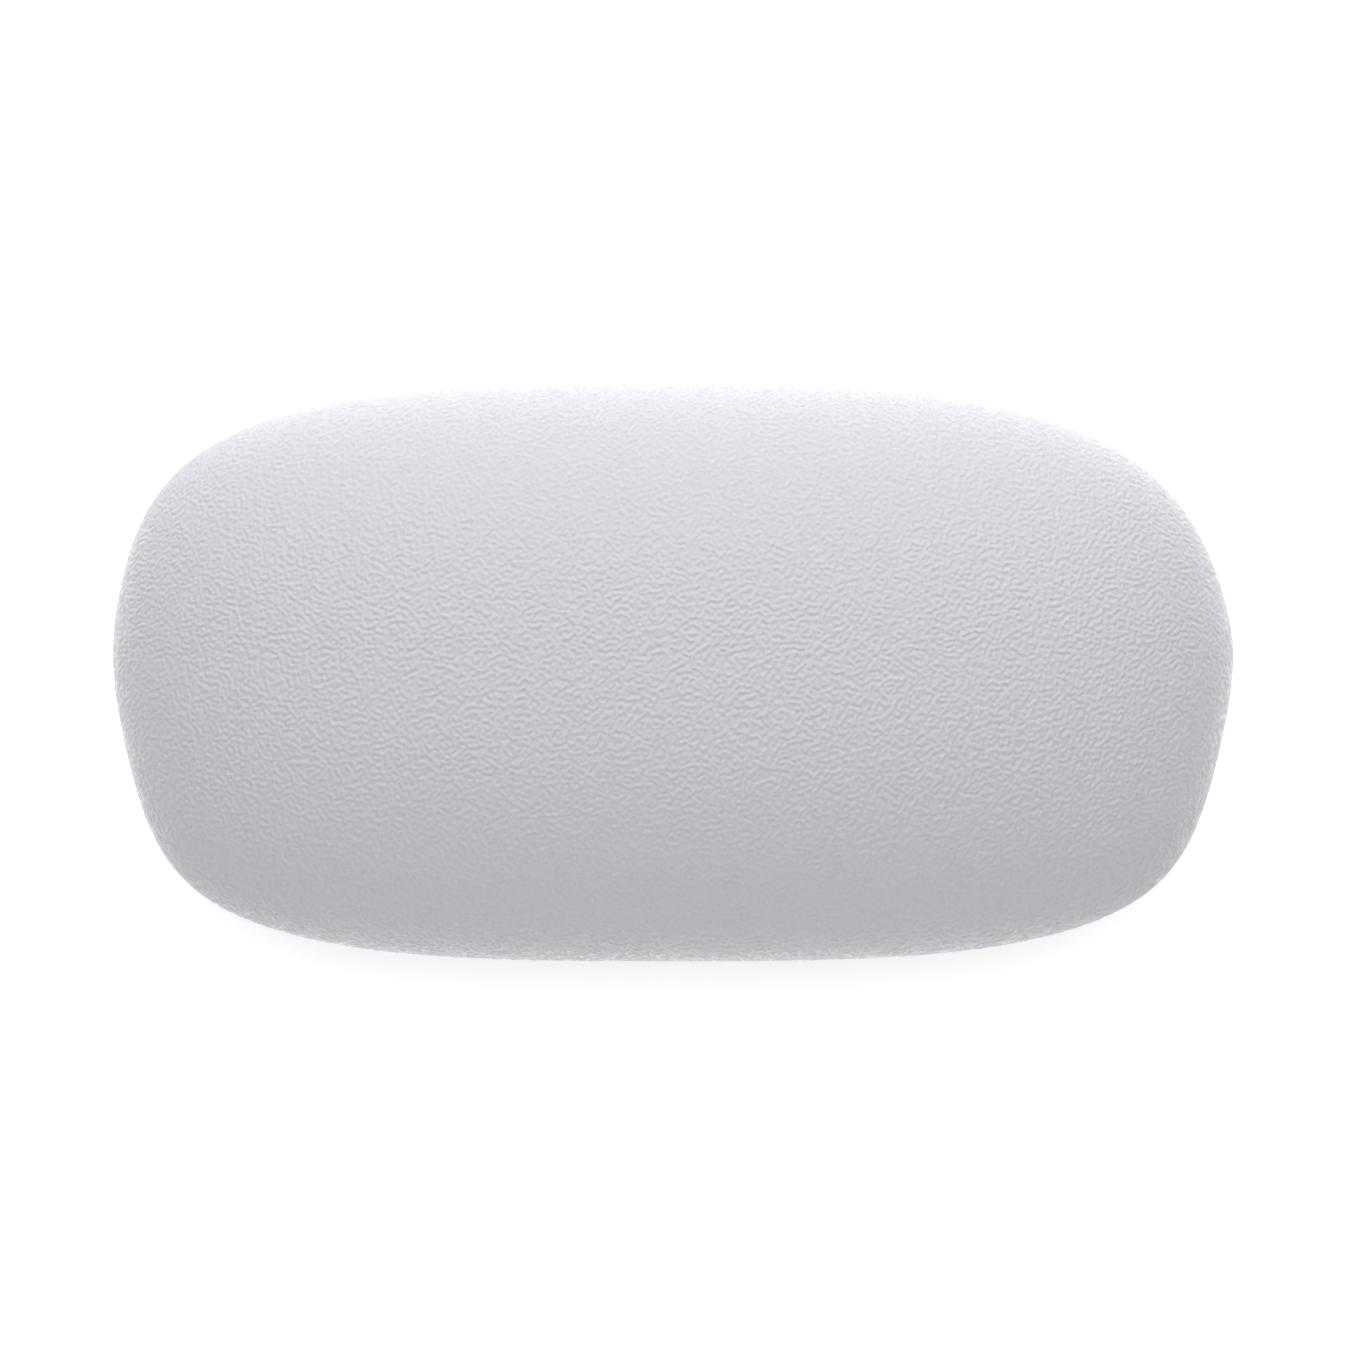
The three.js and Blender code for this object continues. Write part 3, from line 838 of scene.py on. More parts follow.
def block_rings(x, y, heights):
    """Lower and upper ring of a block of these half sizes."""
    return [[(-x, -y, z), (x, -y, z), (x, y, z), (-x, y, z)] for z in heights]


def turned_piece(name, line, material):
    """A closed piece turned from a line of (radius, height) points."""
    profile = draw_line("profile", line, False)
    values = {"Profile": profile, "Segments": RING_POINTS, "Steps": len(line) - 1, "Material": material}
    piece = bake_tree(turned_piece_tree(), name, values)
    discard(profile)
    face_outwards(piece.data)
    return piece


def at_each_axis(master, name, left_turn):
    """Copies of a piece at the four cup axes, by place, with those on the left turned. The piece goes."""
    pieces = {}
    for place, axis in CUP_AXES.items():
        mesh = master.data.copy()
        turn = Matrix.Rotation(0.0 if axis.x > 0.0 else left_turn, 4, "Z")
        mesh.transform(Matrix.Translation((axis.x, axis.y, 0.0)) @ turn)
        pieces[place] = link_object(name + place, mesh)
    discard(master)
    return pieces


# Materials


def spread(value, before, after):
    """A value's range carried over to another, and held at its ends."""
    labels = ("Value", "From Min", "From Max", "To Min", "To Max")
    return add_node(value.tree, "ShaderNodeMapRange", dict(zip(labels, (value, *before, *after))))["Result"]


def scaled(shade, factor):
    return tuple(min(1.0, factor * part) for part in shade)


class Shader:
    """A new material, and the nodes that feed its shader."""

    def __init__(self, name):
        self.material = bpy.data.materials.new(name)
        self.material.use_nodes = True
        self.tree = self.material.node_tree
        self.places = add_node(self.tree, "ShaderNodeTexCoord")["Object"]

    def noise(self, scale, detail=2.0, roughness=0.5):
        inputs = {"Vector": self.places, "Scale": scale, "Detail": detail, "Roughness": roughness}
        return add_node(self.tree, "ShaderNodeTexNoise", inputs)["Fac"]

    def mix(self, share, first, second):
        """A colour that goes from the first to the second."""
        ends = [value if isinstance(value, Term) else (*value, 1.0) for value in (first, second)]
        inputs = dict(zip(MIX_INPUTS, (share, *ends)))
        return add_node(self.tree, "ShaderNodeMix", inputs, data_type="RGBA")["Result_Color"]

    def bump(self, height, strength, distance):
        inputs = {"Height": height, "Strength": strength, "Distance": distance}
        return add_node(self.tree, "ShaderNodeBump", inputs)["Normal"]

    def finish(self, values):
        """The material, with these values at its shader."""
        feed_all(self.tree, "Principled BSDF", values)
        return self.material


def grained_skin_material(cushion):
    """Satin polyurethane whose grain is in the mesh, with painted shade darkening the grain's grooves and
    faint tinted patches.
    """
    skin = Shader("Grained Skin")
    grain = add_node(skin.tree, "ShaderNodeAttribute", attribute_name="grain")["Fac"]
    # Painted shade: the lower the grain, the more the skin turns to the darker groove colour
    grooves = spread(grain, (-1.0, 0.1), (0.25, 0.0))
    patches = spread(skin.noise(scale=25.0), (0.54, 0.74), (0.0, 0.2))
    patched = skin.mix(patches, cushion.skin_colour, cushion.tint_colour)
    fine = skin.noise(scale=1400.0, detail=3.0, roughness=0.6)
    values = {
        "Base Color": skin.mix(grooves, patched, cushion.groove_colour),
        "Roughness": spread(grain, (-1.0, 1.0), (0.62, 0.5)) + spread(fine, (0.3, 0.7), (-0.04, 0.04)),
        "Normal": skin.bump(fine, strength=0.15, distance=0.00004),
        "Specular IOR Level": 0.4,
        "Coat Weight": 1.0,
        "Coat Roughness": 0.25,
    }
    return skin.finish(values)


def smooth_skin_material(cushion):
    """Smooth satin polyurethane with the fine bloom of a blasted mould."""
    skin = Shader("Smooth Skin")
    bloom = spread(skin.noise(scale=45.0, detail=3.0), (0.35, 0.7), (0.0, 0.35))
    fine = skin.noise(scale=1100.0, detail=4.0, roughness=0.65)
    values = {
        "Base Color": skin.mix(bloom, cushion.back_colour, cushion.skin_colour),
        "Roughness": spread(fine, (0.3, 0.7), (0.4, 0.56)),
        "Normal": skin.bump(fine, strength=0.22, distance=0.00006),
        "Specular IOR Level": 0.45,
    }
    return skin.finish(values)


def foam_material(cushion):
    """Open-celled cream foam, with painted shade in the pits of its cells."""
    foam = Shader("Open Foam")
    inputs = {"Vector": foam.places, "Scale": 900.0}
    cells = add_node(foam.tree, "ShaderNodeTexVoronoi", inputs)["Distance"]
    # Painted shade: the foam's colour darkens towards the bottom of each cell's pit
    pit_shade = spread(cells, (0.1, 0.5), (0.9, 0.0))
    values = {
        "Base Color": foam.mix(pit_shade, cushion.foam_colour, scaled(cushion.foam_colour, 0.72)),
        "Normal": foam.bump(cells, strength=0.8, distance=0.0004),
        "Roughness": 0.95,
        "Specular IOR Level": 0.2,
    }
    return foam.finish(values)


def moulded_plastic_material(name, base_colour, roughness):
    """Satin moulded plastic with soft flow marks and a fine spark-eroded texture."""
    plastic = Shader(name)
    flow = spread(plastic.noise(scale=60.0, detail=3.0), (0.35, 0.7), (0.0, 0.6))
    fine = plastic.noise(scale=2600.0, detail=3.0)
    values = {
        "Base Color": plastic.mix(flow, base_colour, scaled(base_colour, 1.08)),
        "Roughness": spread(fine, (0.3, 0.7), (roughness - 0.06, roughness + 0.08)),
        "Normal": plastic.bump(fine, strength=0.2, distance=0.00004),
        "IOR": 1.49,
    }
    return plastic.finish(values)


def clear_pvc_material(cups):
    """Clear soft PVC with a faint cloudiness and handling marks."""
    pvc = Shader("Clear PVC")
    cloud = spread(pvc.noise(scale=120.0, detail=3.0), (0.4, 0.7), (0.0, 0.5))
    marks = pvc.noise(scale=700.0, detail=3.0, roughness=0.6)
    values = {
        "Base Color": pvc.mix(cloud, cups.cup_colour, scaled(cups.cup_colour, 0.93)),
        "Roughness": spread(marks, (0.35, 0.7), (0.08, 0.22)),
        "Normal": pvc.bump(marks, strength=0.08, distance=0.00005),
        "Transmission Weight": 0.85,
        "IOR": 1.53,
    }
    return pvc.finish(values)


# Pieces


def grain_pattern(width, height, pitch, seed):
    """A random field of short, worm-like ridges from -1 to 1, repeating at its borders, and its cell size."""
    cell = pitch / GRAIN_CELLS_PER_PITCH
    columns = 2 * math.ceil(width / cell / 2)
    rows = 2 * math.ceil(height / cell / 2)
    wave_x = np.fft.rfftfreq(columns, cell) * pitch
    wave_y = np.fft.fftfreq(rows, cell) * pitch
    waves = np.hypot(wave_x[None, :], wave_y[:, None])
    fine_enough = 1.0 / (1.0 + np.exp((GRAIN_COARSEST - waves) / GRAIN_SOFTNESS))
    coarse_enough = 1.0 / (1.0 + np.exp((waves - GRAIN_FINEST) / GRAIN_SOFTNESS))
    field = np.random.default_rng(seed).standard_normal((rows, columns))
    field = np.fft.irfft2(np.fft.rfft2(field) * fine_enough * coarse_enough, s=(rows, columns))
    return np.tanh(GRAIN_STEEPNESS * field / field.std()), cell


def sample_pattern(pattern, cell, places):
    """The pattern's value at each place, read smoothly between its cells."""
    rows, columns = pattern.shape
    across = places / cell
    low = np.floor(across).astype(int)
    share = across - low
    x0, y0 = low[:, 0] % columns, low[:, 1] % rows
    x1, y1 = (x0 + 1) % columns, (y0 + 1) % rows
    lower = pattern[y0, x0] * (1 - share[:, 0]) + pattern[y0, x1] * share[:, 0]
    upper = pattern[y1, x0] * (1 - share[:, 0]) + pattern[y1, x1] * share[:, 0]
    return lower * (1 - share[:, 1]) + upper * share[:, 1]


def reach_to(rim, arms):
    """Length of each arm drawn on to a closed line around the origin."""
    angle = np.unwrap(np.arctan2(rim[:, 1], rim[:, 0]))
    turned = angle[0] + (np.arctan2(arms[:, 1], arms[:, 0]) - angle[0]) % (2.0 * math.pi)
    start = np.searchsorted(angle, turned, side="right") - 1
    first, second = rim[start], rim[(start + 1) % len(rim)]
    step = second - first
    way = arms / np.linalg.norm(arms, axis=1)[:, None]
    across_way = way[:, 0] * step[:, 1] - way[:, 1] * step[:, 0]
    return (first[:, 0] * step[:, 1] - first[:, 1] * step[:, 0]) / across_way


def unrolled_places(cushion, drawn, section, places):
    """Where each point of the crowned skin lies when the skin is pressed flat from its crown outwards."""
    middle = np.array((0.0, cushion.waist_rise))
    arms = places - middle
    distance = np.linalg.norm(arms, axis=1)
    # A point in the very middle has no direction of its own, so it gets one.
    arms[distance < SHORTEST_ARM] = (SHORTEST_ARM, 0.0)
    distance = np.maximum(distance, SHORTEST_ARM)
    reach = reach_to(drawn - middle, arms)
    line = evenly_spaced(section, UNROLL_POINTS)
    shares = line[:, 0] / line[-1, 0]
    travel = np.zeros(len(places))
    for i in range(len(line) - 1):
        out = shares[i + 1] - shares[i]
        part = np.clip((distance / reach - shares[i]) / out, 0.0, 1.0)
        travel += part * np.hypot(reach * out, line[i + 1, 1] - line[i, 1])
    return middle + arms * (travel / distance)[:, None]


def stitch(outer, outer_turn, inner, inner_turn):
    """Triangles between two rims with different numbers of points, both in order of their turn."""
    faces = []
    i = j = 0
    while i < len(outer) or j < len(inner):
        next_outer = outer_turn[i + 1] if i + 1 < len(outer) else 1.0 + (i >= len(outer))
        next_inner = inner_turn[j + 1] if j + 1 < len(inner) else 1.0 + (j >= len(inner))
        a, b = outer[i % len(outer)], inner[j % len(inner)]
        if i < len(outer) and (next_outer <= next_inner or j >= len(inner)):
            i += 1
            faces.append((a, b, outer[i % len(outer)]))
        else:
            j += 1
            faces.append((a, b, inner[j % len(inner)]))
    return np.array(faces)


class Sheet:
    """One face of the crowned skin: its points, quads and rim, and each point's turn and flat place."""

    def __init__(self, tree, cushion, inset, rim_round, step, material):
        half_width, half_height = cushion.width / 2 - inset, cushion.height / 2 - inset
        rise = cushion.crown_top - inset - cushion.crown_base
        section = crown_section(cushion, half_height, rise)
        drawn = outline_points(cushion, inset, OUTLINE_POINTS)
        lines = {
            "Outline": draw_line("outline", drawn, True),
            "Along": draw_line("along", crown_section(cushion, half_width, rise), False),
            "Across": draw_line("across", section, False),
        }
        values = {
            "Columns": 2 * round(cushion.sheet_width / step / 2),
            "Rows": 2 * round(cushion.sheet_height / step / 2),
            "End Share": END_SHARE,
            "Half Width": half_width,
            "Half Height": half_height,
            "Crown Rise": rise,
            "Rim Round": rim_round,
            "Base Height": cushion.crown_base,
            "Material": material,
        }
        for label in OUTLINE_RULES:
            values[label] = getattr(cushion, label.lower().replace(" ", "_"))
        holder = bake_tree(tree, "sheet", {**lines, **values})
        mesh = holder.data
        self.points = read_values(mesh.vertices, "co", 3)
        self.normals = read_values(mesh.vertex_normals, "vector", 3)
        self.quads = read_values(mesh.polygons, "vertices", 4, int)
        ring, self.turn = (read_values(mesh.attributes[name].data, "value", 1)[:, 0] for name in SHEET_NOTES)
        for helper in (holder, *lines.values()):
            discard(helper)
        self.flat = unrolled_places(cushion, drawn, section, self.points[:, :2])
        rim = np.flatnonzero(ring > OUTERMOST_RING)
        self.rim = rim[np.argsort(self.turn[rim])]
        self.rim_turn = self.turn[self.rim]

    def layout(self, corner, width):
        """The unrolled places fitted into a square of side 1, from that corner and at that width."""
        low, high = self.flat.min(axis=0), self.flat.max(axis=0)
        return (self.flat - low) * width / (high - low)[0] + corner


class PILLOW_OT_grained_front(bpy.types.Operator):
    """Make the grained front skin, a crowned shell down to the parting line"""

    bl_idname = "bath_pillow.grained_front"
    bl_label = "Grained Front"

    def emboss(self, cushion, face):
        """Raises the grain on a face of the skin, and gives its height from -1 to 1."""
        span = face.flat.max(axis=0) - face.flat.min(axis=0)
        pattern, cell = grain_pattern(span[0], span[1], cushion.grain_pitch, cushion.grain_seed)
        above_rim = face.points[:, 2] - cushion.crown_base - cushion.rim_round
        grain = sample_pattern(pattern, cell, face.flat) * np.clip(above_rim / PLAIN_RIM, 0.0, 1.0)
        face.points += face.normals * (0.5 * cushion.grain_depth * grain)[:, None]
        return grain

    def flat_layout(self, face, lining, faces):
        """Flat places of all corners: face below, lining above, and the rim as a border round the face."""
        face_uv = face.layout(*FACE_LAYOUT)
        lining_uv = lining.layout(*LINING_LAYOUT)
        middle = face_uv.mean(axis=0)
        rim_uv = [
            np.interp(lining.turn, face.rim_turn, face_uv[face.rim, axis], period=1.0) for axis in (0, 1)
        ]
        lining_border = middle + RIM_BORDER * (np.column_stack(rim_uv) - middle)
        of_faces = np.vstack((face_uv, lining_uv))
        of_rim = np.vstack((face_uv, lining_border))
        return np.vstack((of_faces[faces[0].ravel()], of_faces[faces[1].ravel()], of_rim[faces[2].ravel()]))

    def execute(self, context):
        cushion = context.scene.bath_pillow.cushion
        material = grained_skin_material(cushion)
        tree = crowned_sheet_tree()
        face = Sheet(tree, cushion, 0.0, cushion.rim_round, cushion.mesh_step, material)
        lining = Sheet(tree, cushion, cushion.skin_thickness, 0.0, LINING_STEP, material)
        grain = np.concatenate((self.emboss(cushion, face), np.zeros(len(lining.points))))
        points = np.vstack((face.points, lining.points))
        shift = len(face.points)
        rims = [part.tolist() for part in (face.rim, face.rim_turn, lining.rim + shift, lining.rim_turn)]
        faces = [face.quads, lining.quads[:, ::-1] + shift, stitch(*rims)]
        corners = np.concatenate([part.ravel() for part in faces])
        sizes = np.concatenate([np.full(len(part), part.shape[1]) for part in faces])
        flat = self.flat_layout(face, lining, faces)
        mesh = bpy.data.meshes.new("grained_front")
        mesh.vertices.add(len(points))
        mesh.vertices.foreach_set("co", points.astype(np.float32).ravel())
        mesh.loops.add(len(corners))
        mesh.loops.foreach_set("vertex_index", corners.astype(np.int32))
        mesh.polygons.add(len(sizes))
        mesh.polygons.foreach_set("loop_start", (np.cumsum(sizes) - sizes).astype(np.int32))
        mesh.update(calc_edges=True)
        mesh.uv_layers.new(name="OFBake").data.foreach_set("uv", flat.astype(np.float32).ravel())
        height = mesh.attributes.new("grain", "FLOAT", "POINT")
        height.data.foreach_set("value", grain.astype(np.float32))
        mesh.materials.append(material)
        shade_smooth(mesh, SKIN_CREASE)
        piece = link_object("grained_front", mesh)
        finish_piece(piece, PILLOW_BODY, "front_skin")
        return {"FINISHED"}


class PILLOW_OT_smooth_back(bpy.types.Operator):
    """Make the smooth back skin with its rounded edge and four recesses"""

    bl_idname = "bath_pillow.smooth_back"
    bl_label = "Smooth Back"

    def edge_rings(self, cushion, inset, rim_round, steps):
        """Rings of one face of the skin from its rim round to the flat back."""
        depth = cushion.back_rim - cushion.back_face - inset
        top = cushion.back_rim - rim_round
        places = []
        if rim_round:
            for angle in np.linspace(math.pi / 2, 0.0, RIM_POINTS):
                places.append((rim_round * (1 - math.cos(angle)), top + rim_round * math.sin(angle)))
        for reach, drop in zip(*quarter_turn(steps, cushion.back_exponent)):
            z = cushion.back_rim - depth * drop
            if z < top or not rim_round:
                places.append((inset + (cushion.back_inset - inset) * (1 - reach), z))
        return [
            [(x, y, z) for x, y in outline_points(cushion, draw_in, OUTLINE_POINTS)] for draw_in, z in places
        ]

    def recess_rings(self, cushion, centre):
        """Rings of one recess from the flat back, through the socket's hole, to the inner face."""
        radius, hole, turn = cushion.recess_radius, cushion.hole_radius, cushion.recess_round
        back, inner_back = cushion.back_face, cushion.back_face + cushion.skin_thickness
        floor, inner_floor = back + cushion.recess_depth, inner_back + cushion.recess_depth
        outside = radius + cushion.recess_wall
        line = [(radius + turn + MOUTH_SUPPORT, back), (radius + turn, back)]
        line += bend(line[-1], (radius, back), (radius, back + turn), MOUTH_STEPS)
        line += rounded_profile(
            (*line[-1], 0.0),
            (radius, floor, turn),
            (hole, floor, SOFT),
            (hole, inner_floor, CRISP),
            (outside, inner_floor, CRISP),
            (outside, inner_back, 0.0),
            (outside + MOUTH_SUPPORT, inner_back, 0.0),
        )[1:]
        angles = np.linspace(0.0, 2.0 * math.pi, RING_POINTS, endpoint=False)
        return [
            [(centre.x + r * math.cos(angle), centre.y + r * math.sin(angle), z) for angle in angles]
            for r, z in line
        ]

    def execute(self, context):
        cushion = context.scene.bath_pillow.cushion
        skin = Rings()
        rim, flat = skin.strip(self.edge_rings(cushion, 0.0, cushion.rim_round, BACK_STEPS))
        inner_rim, inner_flat = skin.strip(
            self.edge_rings(cushion, cushion.skin_thickness, 0.0, BACK_LINING_STEPS)
        )
        skin.bridge(rim, inner_rim)
        mouths = [skin.strip(self.recess_rings(cushion, axis)) for axis in CUP_AXES.values()]
        skin.fill_around(flat, [mouth for mouth, _ in mouths])
        skin.fill_around(inner_flat, [mouth for _, mouth in mouths])
        piece = skin.make("smooth_back", smooth_skin_material(cushion), BACK_CREASE)
        finish_piece(piece, PILLOW_BODY, "back_skin")
        return {"FINISHED"}


class PILLOW_OT_foam_filling(bpy.types.Operator):
    """Make the foam that fills the skins around the carrier plate"""

    bl_idname = "bath_pillow.foam_filling"
    bl_label = "Foam Filling"

    def execute(self, context):
        cushion = context.scene.bath_pillow.cushion
        mesh = frame["nodes"]["foam_core"].data.copy()
        mesh.materials.clear()
        face_outwards(mesh)
        piece = link_object("foam_filling", mesh)
        remesh = piece.modifiers.new("Cells", "REMESH")
        remesh.mode = "VOXEL"
        remesh.voxel_size = FOAM_CELL
        soften = piece.modifiers.new("Soften", "SMOOTH")
        soften.iterations = FOAM_SOFTENING
        displace(piece, "Inset", -FOAM_INSET)
        plain_mesh(piece)
        places = read_values(piece.data.vertices, "co", 3)
        over_base = np.maximum(places[:, 2] - cushion.crown_base, 0.0)
        places[:, 2] -= over_base * (1.0 - crown_share(cushion, cushion.skin_thickness, places[:, :2]))
        piece.data.vertices.foreach_set("co", places.astype(np.float32).ravel())
        for name in CARRIER_NODES:
            room = link_object(name + "_room", frame["nodes"][name].data.copy())
            face_outwards(room.data)
            displace(room, "Grow", FOAM_GAP)
            combine(piece, plain_mesh(room), "DIFFERENCE")
        piece.data.materials.clear()
        piece.data.materials.append(foam_material(cushion))
        shade_smooth(piece.data, SKIN_CREASE)
        finish_piece(piece, PILLOW_BODY, "foam_core")
        return {"FINISHED"}


class PILLOW_OT_carrier(bpy.types.Operator):
    """Give the carrier plate and its caps their moulded finish"""

    bl_idname = "bath_pillow.carrier"
    bl_label = "Carrier Plate"

    def execute(self, context):
        cups = context.scene.bath_pillow.cups
        material = moulded_plastic_material("Natural Plastic", cups.plate_colour, 0.5)
        for name in CARRIER_NODES:
            mesh = frame["nodes"][name].data
            mesh.materials.clear()
            mesh.materials.append(material)
        return {"FINISHED"}


class PILLOW_OT_sockets(bpy.types.Operator):
    """Make the four slotted sockets that hold the cups"""

    bl_idname = "bath_pillow.sockets"
    bl_label = "Cup Sockets"

    def execute(self, context):
        cups = context.scene.bath_pillow.cups
        material = moulded_plastic_material("Socket Plastic", cups.socket_colour, 0.4)
        bore, sleeve = cups.sleeve_bore, cups.sleeve_bore + cups.sleeve_wall
        bead = sleeve + cups.bead_height
        hole = cups.neck_radius + cups.neck_gap
        base, floor, tip = SOCKET_LOW.z, SOCKET_LOW.z + cups.flange_thickness, SOCKET_HIGH.z
        line = rounded_profile(
            (hole, (base + floor) / 2, 0.0),
            (hole, base, SOFT),
            (cups.flange_radius, base, FLANGE_ROUND),
            (cups.flange_radius, floor, FINE),
            (sleeve, floor, FINE),
            (sleeve, cups.bead_base, CRISP),
            (bead, cups.bead_base, CRISP),
            (bead, cups.bead_base + cups.bead_height, FINE),
            (sleeve - cups.bead_height, tip, FINE),
            (bore, tip, FINE),
            (bore, floor, SOFT),
            (hole, floor, FINE),
            (hole, (base + floor) / 2, 0.0),
        )
        master = turned_piece("socket", line, material)
        half_slot, half_length = cups.finger_slot / 2, SLOT_REACH * bead
        heights = (floor + SLOT_RISE, tip + SLOT_RISE)
        for x, y in ((half_length, half_slot), (half_slot, half_length)):
            combine(master, capped("slot", block_rings(x, y, heights), material), "DIFFERENCE")
        shade_smooth(master.data, SOCKET_CREASE)
        for place, piece in at_each_axis(master, "moulded_socket_", 0.0).items():
            finish_piece(piece, PILLOW_BODY, "cup_socket_" + place)
        return {"FINISHED"}


class PILLOW_OT_cups(bpy.types.Operator):
    """Make the four clear suction cups with their pull tabs"""

    bl_idname = "bath_pillow.cups"
    bl_label = "Suction Cups"

    def profile(self, cups):
        """Half section from the roof of the hollow, round the lip and up to the top of the head."""
        seal = cups.cup_radius - cups.lip_width
        shoulder = (cups.shoulder_radius, cups.shoulder_height)
        hollow = [(0.0, cups.hollow_depth)]
        hollow += bend(hollow[0], (cups.hollow_flare, cups.hollow_depth), (seal, 0.0), WALL_STEPS)
        lip = rounded_profile(
            (seal, 0.0, 0.0),
            (cups.cup_radius, 0.0, LIP_ROUND),
            (cups.cup_radius, cups.lip_thickness, SOFT),
            (cups.flare_radius, cups.flare_height, 0.0),
        )[1:-1]
        wall = bend(lip[-1], (cups.flare_radius, cups.flare_height), shoulder, WALL_STEPS)
        neck = rounded_profile(
            (*wall[-2], 0.0),
            (*shoulder, FULL),
            (cups.neck_radius, cups.shoulder_height, FULL),
            (cups.neck_radius, cups.head_base, FINE),
            (cups.head_radius, cups.head_base, FINE),
            (cups.head_radius, cups.head_base + cups.head_edge, 0.0),
        )[1:]
        crown = bend(neck[-1], (cups.head_radius, cups.head_top), (0.0, cups.head_top), HEAD_STEPS)
        return hollow + lip + wall[:-1] + neck + crown

    def tab(self, cups, material):
        """The pull tab along +X, with soft edges."""
        root = cups.cup_radius - cups.tab_root
        middle = cups.cup_radius + cups.tab_reach - cups.tab_width / 2
        low, high = cups.tab_lift, cups.tab_lift + cups.tab_thickness
        insets = (2 * SOFT, SOFT, 0.0, 0.0, SOFT, 2 * SOFT)
        heights = (low, low, low + SOFT, high - SOFT, high, high)
        angles = np.linspace(-math.pi / 2, math.pi / 2, TAB_POINTS)
        rings = []
        for inset, z in zip(insets, heights):
            half = cups.tab_width / 2 - inset
            end = [(middle + half * math.cos(a), half * math.sin(a), z) for a in angles]
            rings.append([(root, -half, z), *end, (root, half, z)])
        return capped("tab", rings, material)

    def grips(self, cups, material):
        """Rounded bars across the tab, joined later to the cup."""
        half = cups.tab_width / 2 - GRIP_MARGIN
        angles = np.linspace(0.0, 2.0 * math.pi, BAR_POINTS, endpoint=False)
        rings = []
        for share in np.linspace(-1.0, 1.0, BAR_RINGS):
            radius = GRIP_RADIUS * math.sqrt(max(GRIP_BLUNTNESS, 1.0 - share**4))
            rings.append([(radius * math.cos(a), half * share, radius * math.sin(a)) for a in angles])
        bar = capped("bar", rings, material)
        last = cups.cup_radius + cups.tab_reach - GRIP_END
        first = last - (cups.grip_count - 1) * cups.grip_pitch
        values = {
            "Bar": bar,
            "Count": cups.grip_count,
            "Pitch": cups.grip_pitch,
            "Start": (first, 0.0, cups.tab_lift + cups.tab_thickness),
            "Material": material,
        }
        bars = bake_tree(grip_bars_tree(), "bars", values)
        discard(bar)
        return bars

    def execute(self, context):
        cups = context.scene.bath_pillow.cups
        material = clear_pvc_material(cups)
        master = turned_piece("cup", self.profile(cups), material)
        combine(master, self.tab(cups, material), "UNION")
        combine(master, self.grips(cups, material), "UNION")
        shade_smooth(master.data, CUP_CREASE)
        for place, piece in at_each_axis(master, "clear_cup_", math.pi).items():
            finish_piece(piece, "cup_" + place, "suction_cup_" + place)
        return {"FINISHED"}


# Stage


def seen_share(path):
    """1 for rays that show the background: to the camera, in gloss and through clear pieces."""
    return path["Is Camera Ray"].at_least(path["Is Glossy Ray"]).at_least(path["Is Transmission Ray"])


def floor_material(stage):
    """Plain pale floor that shows some light of its own and keeps the shadow."""
    floor = Shader("Pale Floor")
    cloud = spread(floor.noise(scale=3.0), (0.3, 0.7), (0.0, 1.0))
    path = add_node(floor.tree, "ShaderNodeLightPath")
    seen = path["Is Camera Ray"].at_least(path["Is Transmission Ray"])
    values = {
        "Base Color": floor.mix(cloud, stage.floor_colour, scaled(stage.floor_colour, 0.99)),
        "Roughness": 0.9,
        "Specular IOR Level": 0.1,
        "Emission Color": (1.0, 1.0, 1.0, 1.0),
        "Emission Strength": path["Is Glossy Ray"] * stage.floor_gleam + seen * stage.floor_lift,
    }
    return floor.finish(values)


def area_light(name, place, size, energy):
    lamp = bpy.data.lights.new(name, "AREA")
    lamp.shape = "RECTANGLE"
    lamp.size, lamp.size_y = size
    lamp.energy = energy
    holder = link_object(name, lamp)
    holder.visible_camera = False
    holder.visible_glossy = False
    holder.location = place
    holder.rotation_euler = (Vector(LAMP_TARGET) - Vector(place)).to_track_quat("-Z", "Y").to_euler()


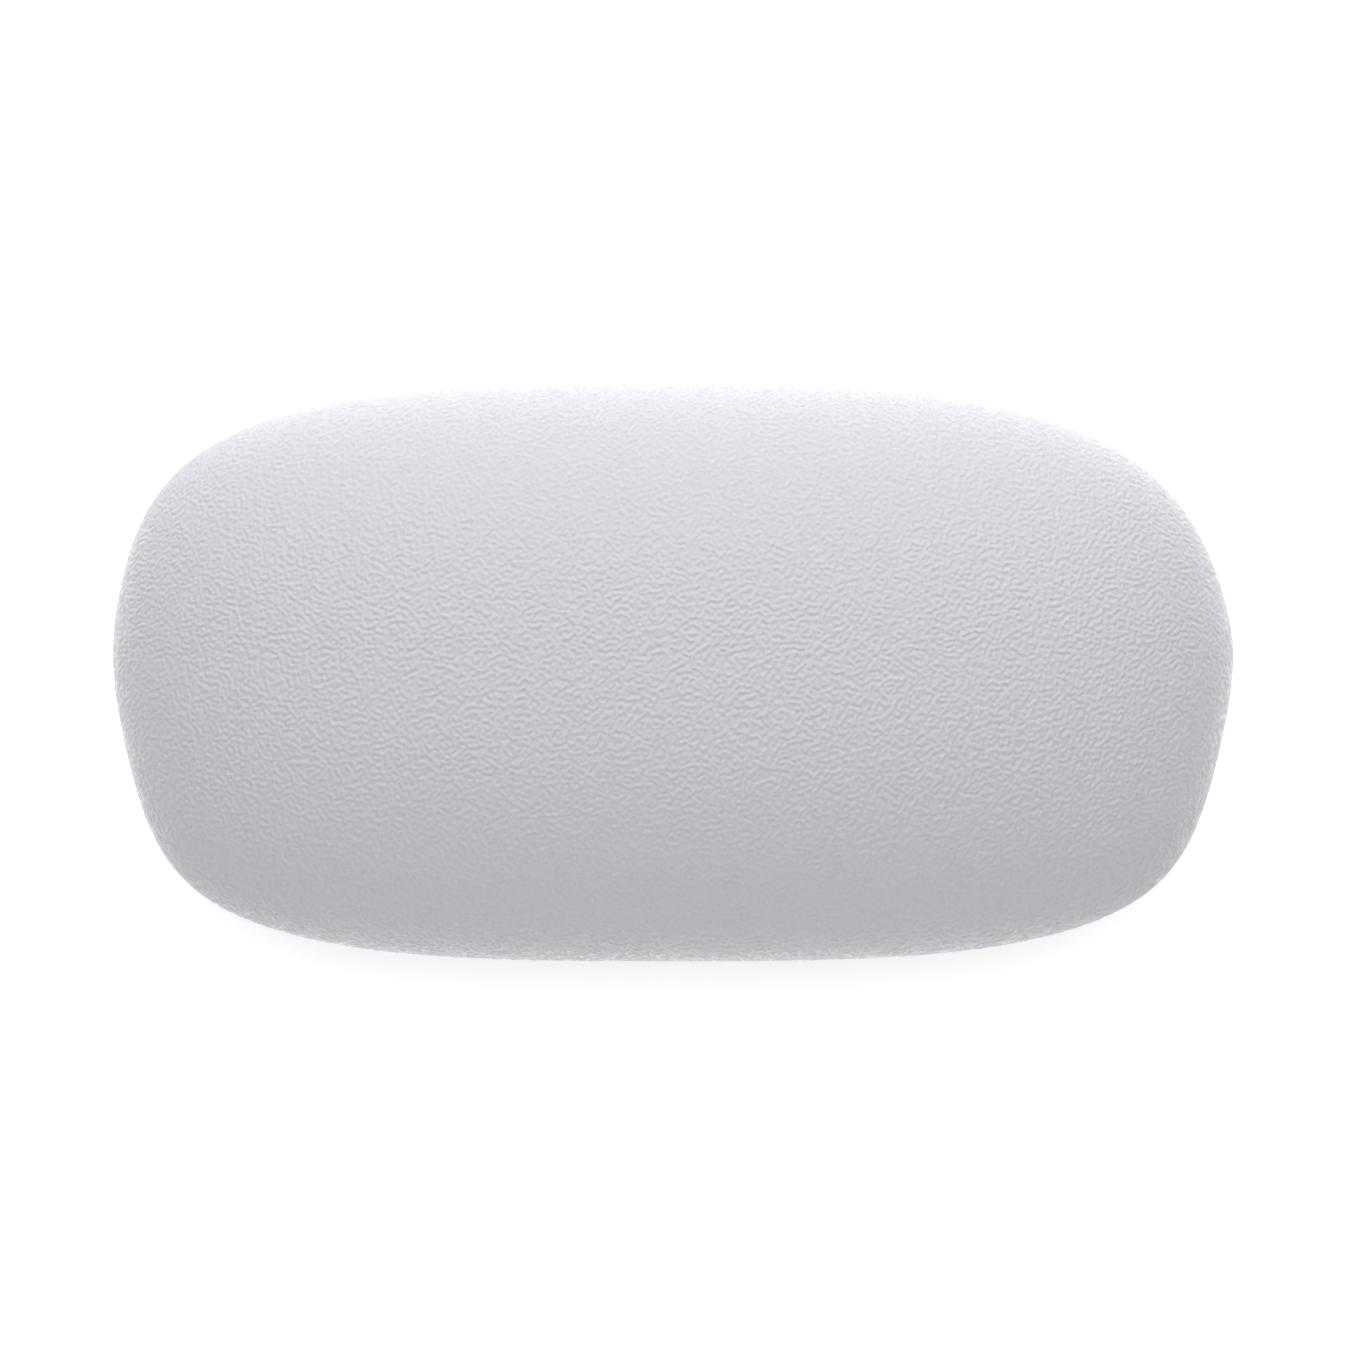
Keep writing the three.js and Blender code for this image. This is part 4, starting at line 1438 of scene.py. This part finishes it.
class PILLOW_OT_stage(bpy.types.Operator):
    """Set up the floor, the light and the camera"""

    bl_idname = "bath_pillow.stage"
    bl_label = "Stage"

    def execute(self, context):
        settings = context.scene.bath_pillow
        stage = settings.stage
        rings = block_rings(FLOOR_REACH, FLOOR_REACH, FLOOR_HEIGHTS)
        capped("floor", rings, floor_material(stage))
        for name, (place, size) in LAMPS.items():
            area_light(name, place, size, getattr(stage, name + "_power"))
        world = bpy.data.worlds.new("Studio")
        context.scene.world = world
        world.use_nodes = True
        tree = world.node_tree
        seen = seen_share(add_node(tree, "ShaderNodeLightPath"))
        values = {"Color": (1.0, 1.0, 1.0, 1.0), "Strength": (1.0 - seen) * stage.ambient + seen}
        feed_all(tree, "Background", values)
        lens = bpy.data.cameras.new("camera")
        camera = link_object("camera", lens)
        camera.location = (0.0, 0.0, stage.camera_height)
        lens.sensor_width = SENSOR_WIDTH
        lens.lens = SENSOR_WIDTH * (stage.camera_height - settings.cushion.crown_base) / stage.frame_width
        context.scene.camera = camera
        context.scene.view_settings.view_transform = "Standard"
        return {"FINISHED"}


class PILLOW_PT_panel(bpy.types.Panel):
    """Sidebar panel that lists the pieces of the bath pillow"""

    bl_idname = "PILLOW_PT_panel"
    bl_label = "Bath Pillow"
    bl_space_type = "VIEW_3D"
    bl_region_type = "UI"
    bl_category = "Bath Pillow"

    def draw(self, context):
        settings = context.scene.bath_pillow
        for operator in OPERATORS:
            self.layout.operator(operator.bl_idname)
        for group in (settings.cushion, settings.cups, settings.stage):
            box = self.layout.box()
            for name in group.bl_rna.properties.keys():
                if name not in ("rna_type", "name"):
                    box.prop(group, name)


OPERATORS = (
    PILLOW_OT_grained_front,
    PILLOW_OT_smooth_back,
    PILLOW_OT_foam_filling,
    PILLOW_OT_carrier,
    PILLOW_OT_sockets,
    PILLOW_OT_cups,
    PILLOW_OT_stage,
)
CLASSES = (CushionSettings, CupSettings, StageSettings, PillowSettings, *OPERATORS, PILLOW_PT_panel)


def register():
    for each in CLASSES:
        bpy.utils.register_class(each)
    bpy.types.Scene.bath_pillow = PointerProperty(type=PillowSettings)


def unregister():
    del bpy.types.Scene.bath_pillow
    for each in reversed(CLASSES):
        bpy.utils.unregister_class(each)


def main():
    register()
    bpy.ops.bath_pillow.grained_front()
    bpy.ops.bath_pillow.smooth_back()
    bpy.ops.bath_pillow.foam_filling()
    bpy.ops.bath_pillow.carrier()
    bpy.ops.bath_pillow.sockets()
    bpy.ops.bath_pillow.cups()
    bpy.ops.bath_pillow.stage()


if __name__ == "__main__":
    main()
